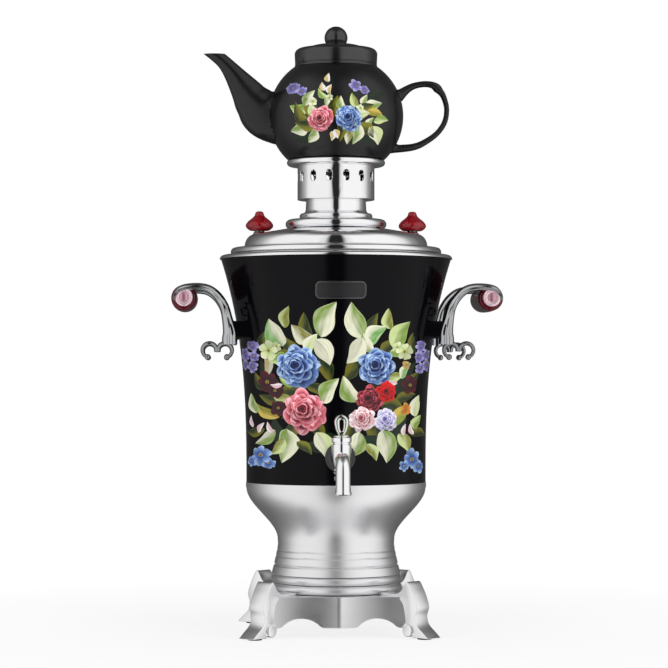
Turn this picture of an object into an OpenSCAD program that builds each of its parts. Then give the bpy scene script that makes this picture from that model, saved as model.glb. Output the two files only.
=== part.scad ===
// Electric samovar with a ceramic teapot standing on its crown.
//
// The axis of the vessel is Z and the floor is z = 0. The tap is at the front (-Y), the side
// handles are on X and the mains inlet is at the back (+Y). Sizes are in millimetres.

/* [Plinth] */
// Half width of the square apron
plinth_half = 70; // [60:1:80]
// Height of the plinth's top plate above the floor
plinth_h = 38; // [32:1:46]
// Thickness of the plinth's plate and apron
plinth_wall = 2.5; // [2:0.5:4]
// Height of the apron below the plate's top
apron_h = 28.5; // [24:0.5:30]
// Half width of one arch in the apron
arch_half = 18.5; // [14:0.5:22]
// Rise of one arch above the apron's lower edge
arch_rise = 8.6; // [4:0.2:12]
// Hollow of each half panel of the apron
panel_hollow = 2.4; // [1:0.2:4]
// Width of a corner leg
leg_w = 18; // [14:1:24]
// Reach of a toe from the axis, along the diagonal
toe_reach = 122; // [116:1:130]
// Rise of a leg's knee above the plate
knee_rise = 14; // [8:1:18]
// Rise of the rib that runs from a knee to the base ring
leg_rib = 2.5; // [1:0.5:4]
// Radius of the small scroll inside a toe
toe_scroll_r = 6; // [4:0.5:7]
// Radius of a rubber foot pad
pad_r = 6.5; // [5:0.5:8]
// Thickness of a rubber foot pad
pad_h = 1.5; // [1:0.5:3]
// Radius of the hole in the plate
plate_hole_r = 44; // [38:1:46]
// Radius of the bottom cover
cover_r = 52; // [50:1:56]
// Thickness of the bottom cover
cover_t = 1.5; // [1:0.5:2.5]
// Number of screws in the bottom cover
cover_screws = 3; // [3:1:6]

/* [Pedestal] */
// Outer radius of the base ring
base_ring_r = 62.5; // [60:0.5:66]
// Height of the base ring
base_ring_h = 17; // [12:1:22]
// Wall of the base ring
base_ring_wall = 5; // [4:0.5:7]
// Radius of the pedestal's foot
pedestal_foot_r = 61; // [57:0.5:63]
// Radius of the pedestal's neck
pedestal_neck_r = 55; // [48:0.5:58]
// Radius of the pedestal's top edge
pedestal_top_r = 85; // [78:0.5:92]
// Height of the pedestal
pedestal_h = 82; // [70:1:100]
// Height of the neck above the pedestal's foot
neck_rise = 28; // [22:1:36]
// Wall of the pedestal
pedestal_wall = 1.5; // [1:0.25:3]
// Width of the flange at the pedestal's top and foot
pedestal_flange = 8; // [6:0.5:10]
// Radius of the tie rod
rod_r = 3; // [2:0.5:5]

/* [Vessel] */
// Outer radius of the shell's lip
lip_r = 110; // [104:0.5:118]
// Height of the shell
shell_h = 217.5; // [180:2.5:260]
// How late the shell flares: a higher value flares nearer to the lip
shell_flare = 2.85; // [2:0.05:4]
// Sheet of the shell
shell_wall = 1.2; // [0.8:0.1:2]
// Width of the rolled lip
lip_roll = 11; // [9:0.5:13]
// Gap between the shell and the tank
jacket_gap = 4; // [3:0.5:6]
// Sheet of the tank
tank_wall = 1.2; // [0.8:0.1:2]
// Height of the tank's floor above the pedestal
tank_floor_rise = 7; // [5:0.5:12]
// Outer radius of the bright rim ring
rim_r = 100; // [97:0.5:102]
// Height of the rim ring
rim_h = 6; // [4:0.5:9]
// Width of the rim ring
rim_w = 13.5; // [12:0.5:15]

/* [Lid] */
// How far the lid's edge lies on the rim ring
lid_lap = 2; // [1:0.25:4]
// Height of the lid's shoulder
lid_shoulder_h = 12; // [8:1:16]
// Set-back of the lid's shoulder from its edge
lid_step = 4.5; // [2:0.25:8]
// Height of the lid's crown above its edge
lid_top_h = 18; // [14:1:24]
// Sheet of the lid
lid_wall = 1.2; // [0.8:0.1:2]
// Radius of the bead round the neck
bead_r = 48; // [42:0.5:54]
// Height of the bead
bead_h = 9; // [6:0.5:12]
// Radius of the neck's ring
neck_ring_r = 34.7; // [31:0.1:38]
// Height of the neck's ring
neck_ring_h = 6; // [4:0.5:9]
// Radius of the neck
neck_r = 28.9; // [25:0.1:32]
// Height of the neck above its ring
neck_h = 12.5; // [8:0.5:18]
// Bore of the neck
neck_bore_r = 24; // [20:0.5:26]
// Distance of a lid knob from the axis
knob_x = 72.7; // [64:0.5:76]
// Radius of a lid knob
knob_r = 13; // [10:0.5:15]
// Height of a lid knob
knob_h = 18.5; // [14:0.5:24]
// Radius of a lid knob's ferrule
ferrule_r = 6; // [4:0.5:8]
// Height of a lid knob's ferrule
ferrule_h = 2.5; // [1.5:0.5:5]

/* [Crown] */
// Radius of the pierced drum
drum_r = 36.6; // [33:0.1:40]
// Height of the drum
drum_h = 32; // [26:1:40]
// Sheet of the drum
drum_wall = 1.2; // [1:0.1:2]
// Number of slots in the drum
slot_count = 14; // [8:1:18]
// Width of a slot
slot_w = 6.2; // [4:0.2:8]
// Height of a slot
slot_h = 10.5; // [8:0.5:14]
// Height of the slots' centre above the drum's foot
slot_rise = 21.4; // [16:0.2:24]
// Radius of the crown's flange
flange_r = 46.7; // [44:0.1:50]
// Height of the crown's flange
flange_h = 6.5; // [5:0.5:9]

/* [Teapot] */
// Radius of the teapot's belly
belly_r = 64; // [58:0.5:70]
// Radius of the arc that bounds the belly from its foot to its mouth
belly_arc_r = 56.8; // [54:0.2:62]
// Height of the belly's middle above the teapot's foot
belly_rise = 41; // [38:0.5:46]
// Height of the teapot's mouth above its foot
pot_mouth_h = 87; // [84:0.5:92]
// Ceramic wall
pot_wall = 4; // [3:0.25:5]
// Radius of the teapot lid
pot_lid_r = 39.4; // [36:0.2:42]
// Height of the teapot lid's side
pot_lid_h = 18; // [12:0.5:24]
// Height of the teapot lid's crown above its side
pot_lid_dome = 5.5; // [4:0.5:10]
// Radius of the teapot lid's ball
ball_r = 11; // [8:0.5:13]
// Depth of the ball in the top of the teapot lid
ball_sink = 6; // [4:0.5:7]
// Depth of the teapot lid's plug in the mouth
plug_depth = 7; // [5:0.5:10]
// Wall of the spout
spout_wall = 2; // [1.5:0.25:2.5]
// Number of strainer holes behind the spout
strainer_holes = 7; // [4:1:7]

/* [Side handles] */
// Distance of the grip's centre from the axis
grip_x = 143.5; // [138:0.5:150]
// Height of the grip's centre above the floor of the shell
grip_rise = 177.6; // [170:0.2:186]
// Radius of the grip
grip_r = 12.5; // [10:0.5:14]
// Length of the grip between the arms
grip_len = 79.6; // [70:0.2:90]
// Thickness of a cast arm
arm_t = 7.5; // [6:0.5:9]
// Radius of the disc at the end of an arm
disc_r = 8.5; // [7:0.5:10]
// Thickness of the curls under an arm
curl_t = 4.2; // [3:0.2:5]
// Radius of the rod in a grip
grip_rod_r = 2.5; // [2:0.25:4]
// Radius of a handle screw
arm_screw_r = 2; // [1.5:0.25:2.5]

/* [Tap] */
// Height of the tap's pipe above the pedestal's top
tap_rise = 30; // [26:1:40]
// Distance of the tap's barrel from the vessel's axis
barrel_y = 110; // [106:1:118]
// Radius of the barrel
barrel_r = 9.35; // [8.5:0.05:11]
// Height of the barrel below the pipe's axis
barrel_drop = 12; // [10:0.5:15]
// Height of the barrel above the pipe's axis
barrel_top = 19; // [14:0.5:24]
// Radius of the tap's key plug
plug_r = 5.5; // [4.5:0.1:6]
// Radial clearance of the plug in the barrel
plug_clearance = 0.05; // [0.02:0.01:0.1]
// Outer radius of the pipe and the nozzle
pipe_r = 6.3; // [5.5:0.1:7]
// Bore of the pipe and the nozzle
pipe_bore_r = 4; // [3:0.1:4.5]
// Distance of the nozzle from the vessel's axis
nozzle_y = 142; // [134:1:150]
// Drop of the nozzle's mouth below the pipe's axis
nozzle_drop = 32; // [26:1:40]
// Radius of the nozzle's elbow
elbow_r = 12; // [9:0.5:14]
// Width of the key's loop
key_w = 13; // [10:0.5:16]
// Height of the key's loop
key_h = 20.5; // [16:0.5:26]
// Thickness of the key's loop
key_t = 4.5; // [3:0.25:6]
// Width of the slit in the key's loop
key_slit = 3.4; // [2.5:0.1:5]
// Radius of the rosette on the shell
rosette_r = 14; // [12:0.5:18]
// Thickness of the rosette
rosette_t = 4; // [3:0.5:6]

/* [Heater] */
// Radius of the heating ring
heater_ring_r = 52; // [40:1:60]
// Radius of the heater's tube
heater_tube_r = 4; // [3:0.25:5]
// Height of the heating ring above the tank's floor
heater_rise = 12; // [9:0.5:20]
// Angle between the heater's two ends
heater_gap = 34; // [20:2:60]
// Length of a heater terminal below the tank's floor
terminal_len = 18; // [14:1:22]

/* [Mains inlet] */
// Width of the inlet's housing
housing_w = 34; // [32:1:40]
// Height of the inlet's housing
housing_h = 50; // [48:1:56]
// Distance of the housing's face from the vessel's axis
housing_y = 70; // [68:1:76]
// Width of the inlet's socket
socket_w = 24; // [23:0.5:25]
// Height of the inlet's socket
socket_h = 16.5; // [15:0.5:18]
// Depth of the inlet's socket
socket_depth = 15; // [12:0.5:16]
// Length of an inlet pin in the socket
pin_len = 12; // [9:0.5:13]
// Width of the switch's rocker
rocker_w = 19; // [15:0.5:22]
// Height of the switch's rocker
rocker_h = 13; // [11:0.5:15]
// Swing of the rocker from off to on, in degrees
rocker_swing = 20; // [12:1:24]

/* [Badge] */
// Width of the badge
badge_w = 47; // [38:1:56]
// Height of the badge
badge_h = 16.4; // [12:0.2:20]
// Height of the badge's centre below the shell's lip
badge_drop = 34.5; // [28:0.5:44]
// Thickness of the badge's plate
badge_t = 1; // [0.8:0.1:2]
// Width of the badge's border
badge_border = 2; // [1:0.25:3]

/* [Clearances] */
// Gap under a piece that lifts off
seat_gap = 0.2; // [0.1:0.05:0.3]
// Sliding gap round a piece that lifts out
slip_gap = 0.5; // [0.4:0.1:1]
// Gap round the rocker
rocker_gap = 0.5; // [0.4:0.1:0.8]

/* [Hidden] */

round_fn = 96;
small_fn = 48;
beyond = 400;

// Heights of the stack, from the floor up
ring_z = plinth_h;
pedestal_z = ring_z + base_ring_h;
shell_z = pedestal_z + pedestal_h;
lip_z = shell_z + shell_h;
tank_z = shell_z + tank_floor_rise;
tank_flange_z = lip_z + 1;
rim_z = tank_flange_z + tank_wall;
lid_z = rim_z + rim_h + seat_gap;
bead_z = lid_z + lid_top_h;
neck_ring_z = bead_z + bead_h;
neck_z = neck_ring_z + neck_ring_h;
neck_top_z = neck_z + neck_h;
drum_z = neck_top_z + seat_gap;
flange_z = drum_z + drum_h;
pot_z = flange_z + flange_h + seat_gap;
belly_z = pot_z + belly_rise;
pot_mouth_z = pot_z + pot_mouth_h;
pot_lid_z = pot_mouth_z + seat_gap;
tap_z = shell_z + tap_rise;
grip_z = shell_z + grip_rise;
cover_z = plinth_h - plinth_wall - cover_t;

// ---- Curves ----

function arc(centre, r, from, to, n) =
    [for (i = [0 : n]) let (a = from + (to - from) * i / n) centre + r * [cos(a), sin(a)]];

// A smooth curve through hand-placed points, with n steps between each two of them
function spline_at(a, b, c, d, t) =
    (2 * b + (c - a) * t + (2 * a - 5 * b + 4 * c - d) * t * t
     + (3 * b - a - 3 * c + d) * t * t * t) / 2;
function smooth(points, n) = let (last = len(points) - 1) concat(
    [for (i = [0 : last - 1]) for (k = [0 : n - 1])
        spline_at(points[max(i - 1, 0)], points[i], points[i + 1],
                  points[min(i + 2, last)], k / n)],
    [points[last]]);

function backwards(points) = [for (i = [len(points) - 1 : -1 : 0]) points[i]];

// The band between two radii and two angles, as an outline
function ring_sector(centre, r, t, from, to, n) = concat(
    arc(centre, r + t / 2, from, to, n), arc(centre, r - t / 2, to, from, n));

// A strap along [x, z, half width] stations, as an outline
function strap_side(s, i, side) = let (
    a = s[max(i - 1, 0)], b = s[min(i + 1, len(s) - 1)],
    along = [b[0] - a[0], b[1] - a[1]] / norm([b[0] - a[0], b[1] - a[1]]))
    [s[i][0], s[i][1]] + side * s[i][2] * [-along[1], along[0]];
function strap(s) = concat(
    [for (i = [0 : len(s) - 1]) strap_side(s, i, 1)],
    [for (i = [len(s) - 1 : -1 : 0]) strap_side(s, i, -1)]);

module turned(outline) {
    rotate_extrude($fn = round_fn) polygon(outline);
}

module ring(r_out, r_in, h) {
    difference() {
        cylinder(h = h, r = r_out, $fn = round_fn);
        translate([0, 0, -1]) cylinder(h = h + 2, r = r_in, $fn = round_fn);
    }
}

// Rings of points round a path of [x, z, half height across the path, half width along Y]
function path_rings(s, sides, inset) = [for (i = [0 : len(s) - 1]) let (
    a = s[max(i - 1, 0)], b = s[min(i + 1, len(s) - 1)],
    along = [b[0] - a[0], b[1] - a[1]] / norm([b[0] - a[0], b[1] - a[1]]))
    for (k = [0 : sides - 1]) let (t = 360 * (k + 0.5) / sides, up = (s[i][2] - inset) * cos(t))
        [s[i][0] - along[1] * up, (s[i][3] - inset) * sin(t), s[i][1] + along[0] * up]];

function skin_faces(rings, sides, first) = [
    for (i = [0 : rings - 2]) for (k = [0 : sides - 1]) let (m = (k + 1) % sides)
        [first + i * sides + k, first + (i + 1) * sides + k,
         first + (i + 1) * sides + m, first + i * sides + m]];

// A closed horn through the rings
module loft(s, sides) {
    n = len(s);
    polyhedron(path_rings(s, sides, 0), concat(
        [[for (k = [0 : sides - 1]) k]],
        skin_faces(n, sides, 0),
        [[for (k = [sides - 1 : -1 : 0]) (n - 1) * sides + k]]), convexity = 6);
}

// A hollow horn with a wall, open at both ends
module hollow_loft(s, sides, wall) {
    n = len(s);
    inner = n * sides;
    last = (n - 1) * sides;
    polyhedron(concat(path_rings(s, sides, 0), path_rings(s, sides, wall)), concat(
        skin_faces(n, sides, 0),
        [for (f = skin_faces(n, sides, inner)) backwards(f)],
        [for (k = [0 : sides - 1]) let (m = (k + 1) % sides) [k, m, inner + m, inner + k]],
        [for (k = [0 : sides - 1]) let (m = (k + 1) % sides)
            [last + m, last + k, inner + last + k, inner + last + m]]), convexity = 8);
}

// ---- Plinth ----

leg_out = plinth_half * sqrt(2);
leg_foot_z = pad_h;
toe_x = toe_reach - 12;
// Along the corner of the plate, over the raised knee and down to the toe
leg_outside = smooth([
    [base_ring_r + 1.5, plinth_h + leg_rib],
    [leg_out - 17, plinth_h + leg_rib],
    [leg_out - 10, plinth_h + 0.4 * knee_rise],
    [leg_out - 5.5, plinth_h + knee_rise - 1.5],
    [leg_out - 2, plinth_h + knee_rise],
    [leg_out + 2, plinth_h + 0.6 * knee_rise],
    [leg_out + 6, plinth_h + 1],
    [leg_out + 9.3, plinth_h - 9],
    [leg_out + 7, plinth_h - 17],
    [leg_out + 9.3, plinth_h - 25],
    [toe_reach - 6, leg_foot_z + 5],
    [toe_reach, leg_foot_z]], 3);
leg_inside = smooth([
    [toe_x - 6, leg_foot_z],
    [leg_out - 3, leg_foot_z + 9],
    [leg_out - 4.5, plinth_h - 20],
    [leg_out - 7, plinth_h - 8],
    [leg_out - 11, plinth_h - plinth_wall]], 3);

// Each face of the apron is two shallow hollows side by side
panel_half = plinth_half / 2;
panel_r = (panel_half * panel_half + panel_hollow * panel_hollow) / (2 * panel_hollow);
arch_r = (arch_half * arch_half + arch_rise * arch_rise) / (2 * arch_rise);
apron_z = plinth_h - apron_h;

module apron_tube() {
    difference() {
        translate([-plinth_half, -plinth_half, apron_z])
            cube([2 * plinth_half, 2 * plinth_half, apron_h]);
        translate([-plinth_half + panel_hollow + plinth_wall, -plinth_half + panel_hollow
                   + plinth_wall, apron_z - 1])
            cube([2 * (plinth_half - panel_hollow - plinth_wall),
                  2 * (plinth_half - panel_hollow - plinth_wall),
                  apron_h - plinth_wall + 1]);
        for (turn = [0 : 90 : 270]) rotate([0, 0, turn])
            for (side = [-1, 1]) {
                translate([side * panel_half, -plinth_half + panel_hollow - panel_r, apron_z - 1])
                    cylinder(h = apron_h + 2, r = panel_r, $fn = 360);
                translate([side * (panel_half - 0.5), 0, apron_z + arch_rise - arch_r])
                    rotate([90, 0, 0])
                        cylinder(h = plinth_half + 1, r = arch_r, $fn = round_fn);
            }
        translate([0, 0, plinth_h - plinth_wall - 1])
            cylinder(h = plinth_wall + 2, r = plate_hole_r, $fn = round_fn);
    }
}

module leg() {
    rotate([0, 0, 45]) rotate([90, 0, 0])
        translate([0, 0, -leg_w / 2]) {
            linear_extrude(leg_w) polygon(concat(
                leg_outside, leg_inside,
                [[base_ring_r + 1.5, plinth_h - plinth_wall]]));
            translate([leg_out - 1, leg_foot_z + toe_scroll_r + 0.5, -2])
                cylinder(h = leg_w + 4, r = toe_scroll_r, $fn = small_fn);
        }
}

cover_screw_r = 2;
cover_screw_at = cover_r - 4.5;

module each_cover_screw() {
    for (i = [0 : cover_screws - 1]) rotate([0, 0, 90 + 360 * i / cover_screws])
        translate([cover_screw_at, 0, 0]) children();
}

module base_plinth() {
    color("lightsteelblue") difference() {
        union() {
            apron_tube();
            for (turn = [0 : 90 : 270]) rotate([0, 0, turn]) leg();
        }
        each_cover_screw() translate([0, 0, cover_z])
            cylinder(h = 2 * plinth_wall + cover_t, r = cover_screw_r, $fn = small_fn);
    }
}

module foot_pads() {
    color("dimgray") for (turn = [0 : 90 : 270]) rotate([0, 0, 45 + turn])
        translate([toe_x, 0, 0]) cylinder(h = pad_h, r = pad_r, $fn = small_fn);
}

module bottom_cover() {
    color("gainsboro") difference() {
        translate([0, 0, cover_z]) cylinder(h = cover_t, r = cover_r, $fn = round_fn);
        each_cover_screw() translate([0, 0, cover_z - 1])
            cylinder(h = cover_t + 2, r = cover_screw_r, $fn = small_fn);
        translate([0, 0, cover_z - 1]) cylinder(h = cover_t + 2, r = rod_r, $fn = small_fn);
    }
}

module bottom_cover_screws() {
    color("silver") each_cover_screw() {
        translate([0, 0, cover_z]) cylinder(h = cover_t + plinth_wall, r = cover_screw_r,
                                            $fn = small_fn);
        translate([0, 0, cover_z - cover_screw_r])
            cylinder(h = cover_screw_r, r = 2 * cover_screw_r, $fn = small_fn);
    }
}

// ---- Base ring and pedestal ----

bead_half = base_ring_h / 4;

module base_ring() {
    color("silver") translate([0, 0, ring_z]) turned(concat(
        [[base_ring_r - base_ring_wall - bead_half, 0]],
        arc([base_ring_r - bead_half, bead_half], bead_half, -90, 90, 8),
        arc([base_ring_r - 1 - bead_half, 3 * bead_half], bead_half, -90, 90, 8),
        [[base_ring_r - base_ring_wall - bead_half, base_ring_h]]));
}

// The bowl swells slowly from the neck, then fast, then slowly again to its edge
function ease(u) = let (v = max(0, min(1, (u - 0.1) / 0.86)))
    0.12 * u + 0.88 * v * v * (3 - 2 * v);
neck_at_z = pedestal_z + neck_rise;
function pedestal_r(z) = z < neck_at_z
    ? pedestal_neck_r + (pedestal_foot_r - pedestal_neck_r)
        * pow((neck_at_z - z) / neck_rise, 1.2)
    : pedestal_neck_r + (pedestal_top_r - pedestal_neck_r)
        * ease((z - neck_at_z) / (shell_z - neck_at_z));

function pedestal_outline(inset) = [for (i = [0 : 24])
    let (z = pedestal_z + pedestal_h * i / 24) [pedestal_r(z) - inset, z]];

module pedestal_solid(grow) {
    turned(concat([[0, pedestal_z]], pedestal_outline(-grow), [[0, shell_z]]));
}

module pedestal() {
    color("gainsboro") difference() {
        turned(concat(
            [[pedestal_foot_r - pedestal_flange, pedestal_z]],
            pedestal_outline(0),
            [[pedestal_top_r - pedestal_flange, shell_z],
             [pedestal_top_r - pedestal_flange, shell_z - pedestal_wall]],
            backwards([for (p = pedestal_outline(pedestal_wall))
                if (p[1] < shell_z - pedestal_wall - 1 && p[1] > pedestal_z + pedestal_wall) p]),
            [[pedestal_r(pedestal_z + pedestal_wall) - pedestal_wall,
              pedestal_z + pedestal_wall],
             [pedestal_foot_r - pedestal_flange, pedestal_z + pedestal_wall]]));
        housing_stem(0);
        each_housing_screw() housing_screw_hole();
    }
}

module tie_rod() {
    color("silver") translate([0, 0, cover_z - 9])
        cylinder(h = tank_z - cover_z + 9, r = rod_r, $fn = small_fn);
}

module tie_rod_nuts() {
    color("silver") {
        translate([0, 0, cover_z - 6]) difference() {
            cylinder(h = 5, r = 2 * rod_r, $fn = 6);
            translate([0, 0, -1]) cylinder(h = 7, r = rod_r, $fn = small_fn);
        }
        translate([0, 0, cover_z - 1]) ring(2.8 * rod_r, rod_r, 1);
    }
}

// ---- Shell, tank and rim ----

function shell_r(z) = pedestal_top_r
    + (lip_r - pedestal_top_r) * pow(max(0, z - shell_z) / shell_h, shell_flare);
function tank_r(z) = shell_r(z) - shell_wall - jacket_gap;
function wall_outline(from, to, inset, n) = [for (i = [0 : n])
    let (z = from + (to - from) * i / n) [shell_r(z) - inset, z]];

lip_bend = 3;

// What the shell fills from its axis out, grown by an amount
module shell_solid(grow) {
    turned(concat([[0, shell_z]], wall_outline(shell_z, lip_z - lip_bend, -grow, 20),
                  [[0, lip_z - lip_bend]]));
}

module body_shell() {
    roll_from = lip_z - lip_bend;
    color([0.06, 0.06, 0.06]) difference() {
        turned(concat(
            [[pedestal_top_r - pedestal_flange, shell_z]],
            wall_outline(shell_z, roll_from, 0, 20),
            arc([lip_r - lip_bend - 0.3, roll_from + 0.6], lip_bend + 0.4, 0, 90, 6),
            [[lip_r - lip_roll, lip_z + 1], [lip_r - lip_roll, lip_z + 1 - shell_wall]],
            arc([lip_r - lip_bend - 0.3, roll_from + 0.6], lip_bend + 0.4 - shell_wall, 90, 0, 6),
            backwards(wall_outline(shell_z + shell_wall, roll_from, shell_wall, 20)),
            [[pedestal_top_r - pedestal_flange, shell_z + shell_wall]]));
        pipe_hole();
        each_arm_screw() cylinder(h = beyond, r = arm_screw_r, $fn = small_fn);
        each_badge_stud() cylinder(h = beyond, r = badge_stud_r, $fn = small_fn);
    }
}

tank_corner = 10;

module water_tank() {
    in_r = tank_r(tank_z + tank_corner);
    color("gainsboro") difference() {
        turned(concat(
            [[0, tank_z]],
            arc([in_r - tank_corner, tank_z + tank_corner], tank_corner, -90, 0, 6),
            wall_outline(tank_z + tank_corner + 1, lip_z - 14, shell_wall + jacket_gap, 18),
            [[lip_r - lip_roll - 4, tank_flange_z], [rim_r - 0.5, tank_flange_z],
             [rim_r - 0.5, rim_z], [lip_r - lip_roll - 4 - tank_wall, rim_z]],
            backwards(wall_outline(tank_z + tank_corner + 1, lip_z - 14,
                                   shell_wall + jacket_gap + tank_wall, 18)),
            arc([in_r - tank_corner, tank_z + tank_corner], tank_corner - tank_wall, 0, -90, 6),
            [[0, tank_z + tank_wall]]));
        pipe_hole();
        each_heater_end() cylinder(h = 3 * tank_wall, r = heater_tube_r, center = true,
                                   $fn = small_fn);
    }
}

module rim_ring() {
    edge = rim_h / 2;
    color("silver") translate([0, 0, rim_z]) turned(concat(
        [[rim_r - rim_w, 0]],
        arc([rim_r - edge, edge], edge, -90, 90, 8),
        [[rim_r - rim_w, rim_h]]));
}

// ---- Heater and controls under the tank ----

heater_turn = 90;
thermostat_r = 13;
thermostat_h = 9;
thermostat_at = [26, 12];
fuse_at = [-28, 8];
fuse_r = 3;
fuse_len = 22;
strap_t = 1;
strap_screw_r = 1.5;
strap_screw_at = 20;
earth_at = [0, -30];
stud_len = 8;

module each_heater_end() {
    for (side = [-1, 1]) rotate([0, 0, heater_turn + side * heater_gap / 2])
        translate([heater_ring_r, 0, tank_z]) children();
}

module heating_element() {
    color("silver") {
        translate([0, 0, tank_z + heater_rise])
            rotate([0, 0, heater_turn + heater_gap / 2])
                rotate_extrude(angle = 360 - heater_gap, $fn = round_fn)
                    translate([heater_ring_r, 0]) circle(r = heater_tube_r, $fn = small_fn);
        each_heater_end() {
            translate([0, 0, heater_rise]) sphere(r = heater_tube_r, $fn = small_fn);
            translate([0, 0, -terminal_len])
                cylinder(h = terminal_len + heater_rise, r = heater_tube_r, $fn = small_fn);
        }
    }
}

module heater_gaskets() {
    color("tomato") each_heater_end() translate([0, 0, -2])
        ring(heater_tube_r + 4, heater_tube_r, 2);
}

module heater_nuts() {
    color("goldenrod") each_heater_end() translate([0, 0, -7]) difference() {
        cylinder(h = 5, r = heater_tube_r + 4, $fn = 6);
        translate([0, 0, -1]) cylinder(h = 7, r = heater_tube_r, $fn = small_fn);
    }
}

module thermostat() {
    color("ivory") translate([thermostat_at[0], thermostat_at[1], tank_z - thermostat_h])
        cylinder(h = thermostat_h, r = thermostat_r, $fn = small_fn);
}

module thermal_fuse() {
    color("wheat") translate([fuse_at[0], fuse_at[1] - fuse_len / 2, tank_z - fuse_r])
        rotate([-90, 0, 0]) cylinder(h = fuse_len, r = fuse_r, $fn = small_fn);
}

// Two sheet straps hold the thermostat and the fuse against the tank's floor
module sensor_straps() {
    low = thermostat_h + strap_t;
    color("silver") {
        translate([thermostat_at[0] - strap_screw_at - 4, thermostat_at[1] - 5, tank_z - low])
            difference() {
                cube([2 * strap_screw_at + 8, 10, strap_t]);
                for (side = [-1, 1])
                    translate([strap_screw_at + 4 + side * strap_screw_at, 5, -1])
                        cylinder(h = strap_t + 2, r = strap_screw_r, $fn = small_fn);
            }
        translate([fuse_at[0] - 5, fuse_at[1] - 5, tank_z - 2 * fuse_r - strap_t])
            cube([10, 10, strap_t]);
        translate([fuse_at[0] - 6, fuse_at[1] - 5, tank_z - 2 * fuse_r - strap_t])
            cube([strap_t, 10, 2 * fuse_r + strap_t]);
        translate([fuse_at[0] + 5, fuse_at[1] - 5, tank_z - 2 * fuse_r - strap_t])
            cube([strap_t, 10, 2 * fuse_r + strap_t]);
    }
}

module strap_screws() {
    low = thermostat_h + strap_t;
    color("silver") for (side = [-1, 1])
        translate([thermostat_at[0] + side * strap_screw_at, thermostat_at[1], 0]) {
            translate([0, 0, tank_z - low]) cylinder(h = low, r = strap_screw_r, $fn = small_fn);
            translate([0, 0, tank_z - low - 2]) cylinder(h = 2, r = 2 * strap_screw_r,
                                                         $fn = small_fn);
        }
}

module earth_tag() {
    color("goldenrod") translate([earth_at[0], earth_at[1], tank_z]) {
        translate([0, 0, -stud_len]) cylinder(h = stud_len, r = 2, $fn = small_fn);
        translate([-4, -4, -5]) difference() {
            cube([8, 16, 1]);
            translate([4, 4, -1]) cylinder(h = 3, r = 2, $fn = small_fn);
        }
    }
}

// ---- Mains inlet and switch ----

housing_z = pedestal_z + 4;
socket_z = housing_z + 16;
switch_z = housing_z + housing_h - 13.5;
stem_w = housing_w - 8;
stem_h = housing_h - 8;
stem_y = pedestal_neck_r - 14;
rocker_pivot_y = housing_y - 5;
rocker_r = norm([rocker_h / 2, housing_y + 1.5 - rocker_pivot_y]);
pin_pitch = 7;
pin_root = housing_y - socket_depth;

module rounded_box(w, h, r, depth) {
    rotate([90, 0, 0]) linear_extrude(depth) {
        translate([-w / 2 + r, -h / 2]) square([w - 2 * r, h]);
        translate([-w / 2, -h / 2 + r]) square([w, h - 2 * r]);
        for (i = [-1, 1]) for (j = [-1, 1])
            translate([i * (w / 2 - r), j * (h / 2 - r)]) circle(r = r, $fn = small_fn);
    }
}

// The stem of the housing goes through the pedestal's back
module housing_stem(grow) {
    translate([0, housing_y - 6, housing_z + housing_h / 2])
        rounded_box(stem_w + 2 * grow, stem_h + 2 * grow, 3 + grow, housing_y - 6 - stem_y);
}

housing_screw_r = 1.5;
module each_housing_screw() {
    for (side = [-1, 1])
        translate([side * (housing_w / 2 - 2.2), housing_y, housing_z + housing_h / 2])
            children();
}
module housing_screw_hole() {
    rotate([90, 0, 0]) cylinder(h = 22, r = housing_screw_r, $fn = small_fn);
}

module power_housing() {
    color([0.12, 0.12, 0.13]) difference() {
        union() {
            difference() {
                translate([0, housing_y, housing_z + housing_h / 2])
                    rounded_box(housing_w, housing_h, 4, 22);
                pedestal_solid(0);
            }
            housing_stem(0);
        }
        translate([0, housing_y + 1, socket_z]) rotate([90, 0, 0])
            linear_extrude(socket_depth + 1) polygon([
                [-socket_w / 2, -socket_h / 2], [socket_w / 2, -socket_h / 2],
                [socket_w / 2, socket_h / 2 - 5], [socket_w / 2 - 5, socket_h / 2],
                [-socket_w / 2 + 5, socket_h / 2], [-socket_w / 2, socket_h / 2 - 5]]);
        translate([-rocker_w / 2 - rocker_gap, rocker_pivot_y - rocker_r - 1,
                   switch_z - rocker_h / 2 - 2.5])
            cube([rocker_w + 2 * rocker_gap, housing_y - rocker_pivot_y + rocker_r + 2,
                  rocker_h + 5]);
        translate([-rocker_w / 2 - 3, rocker_pivot_y, switch_z]) rotate([0, 90, 0])
            cylinder(h = rocker_w + 6, r = 1.5 + 0.05, $fn = small_fn);
        each_inlet_pin(stem_y - 1, 0);
        each_housing_screw() housing_screw_hole();
        translate([-5, stem_y - 1, switch_z - 3]) cube([10, 9, 6]);
    }
}

module each_inlet_pin(from, grow) {
    for (p = [[-pin_pitch, -2], [0, 2], [pin_pitch, -2]])
        translate([p[0] - 1 - grow, from, socket_z + p[1] - 2 - grow])
            cube([2 + 2 * grow, pin_root + pin_len - from, 4 + 2 * grow]);
}

module inlet_pins() {
    color("goldenrod") each_inlet_pin(stem_y - 6, 0);
}

module housing_screws() {
    color("silver") each_housing_screw() rotate([90, 0, 0]) {
        cylinder(h = 20, r = housing_screw_r, $fn = small_fn);
        translate([0, 0, -1]) cylinder(h = 1, r = 2, $fn = small_fn);
    }
}

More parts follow.
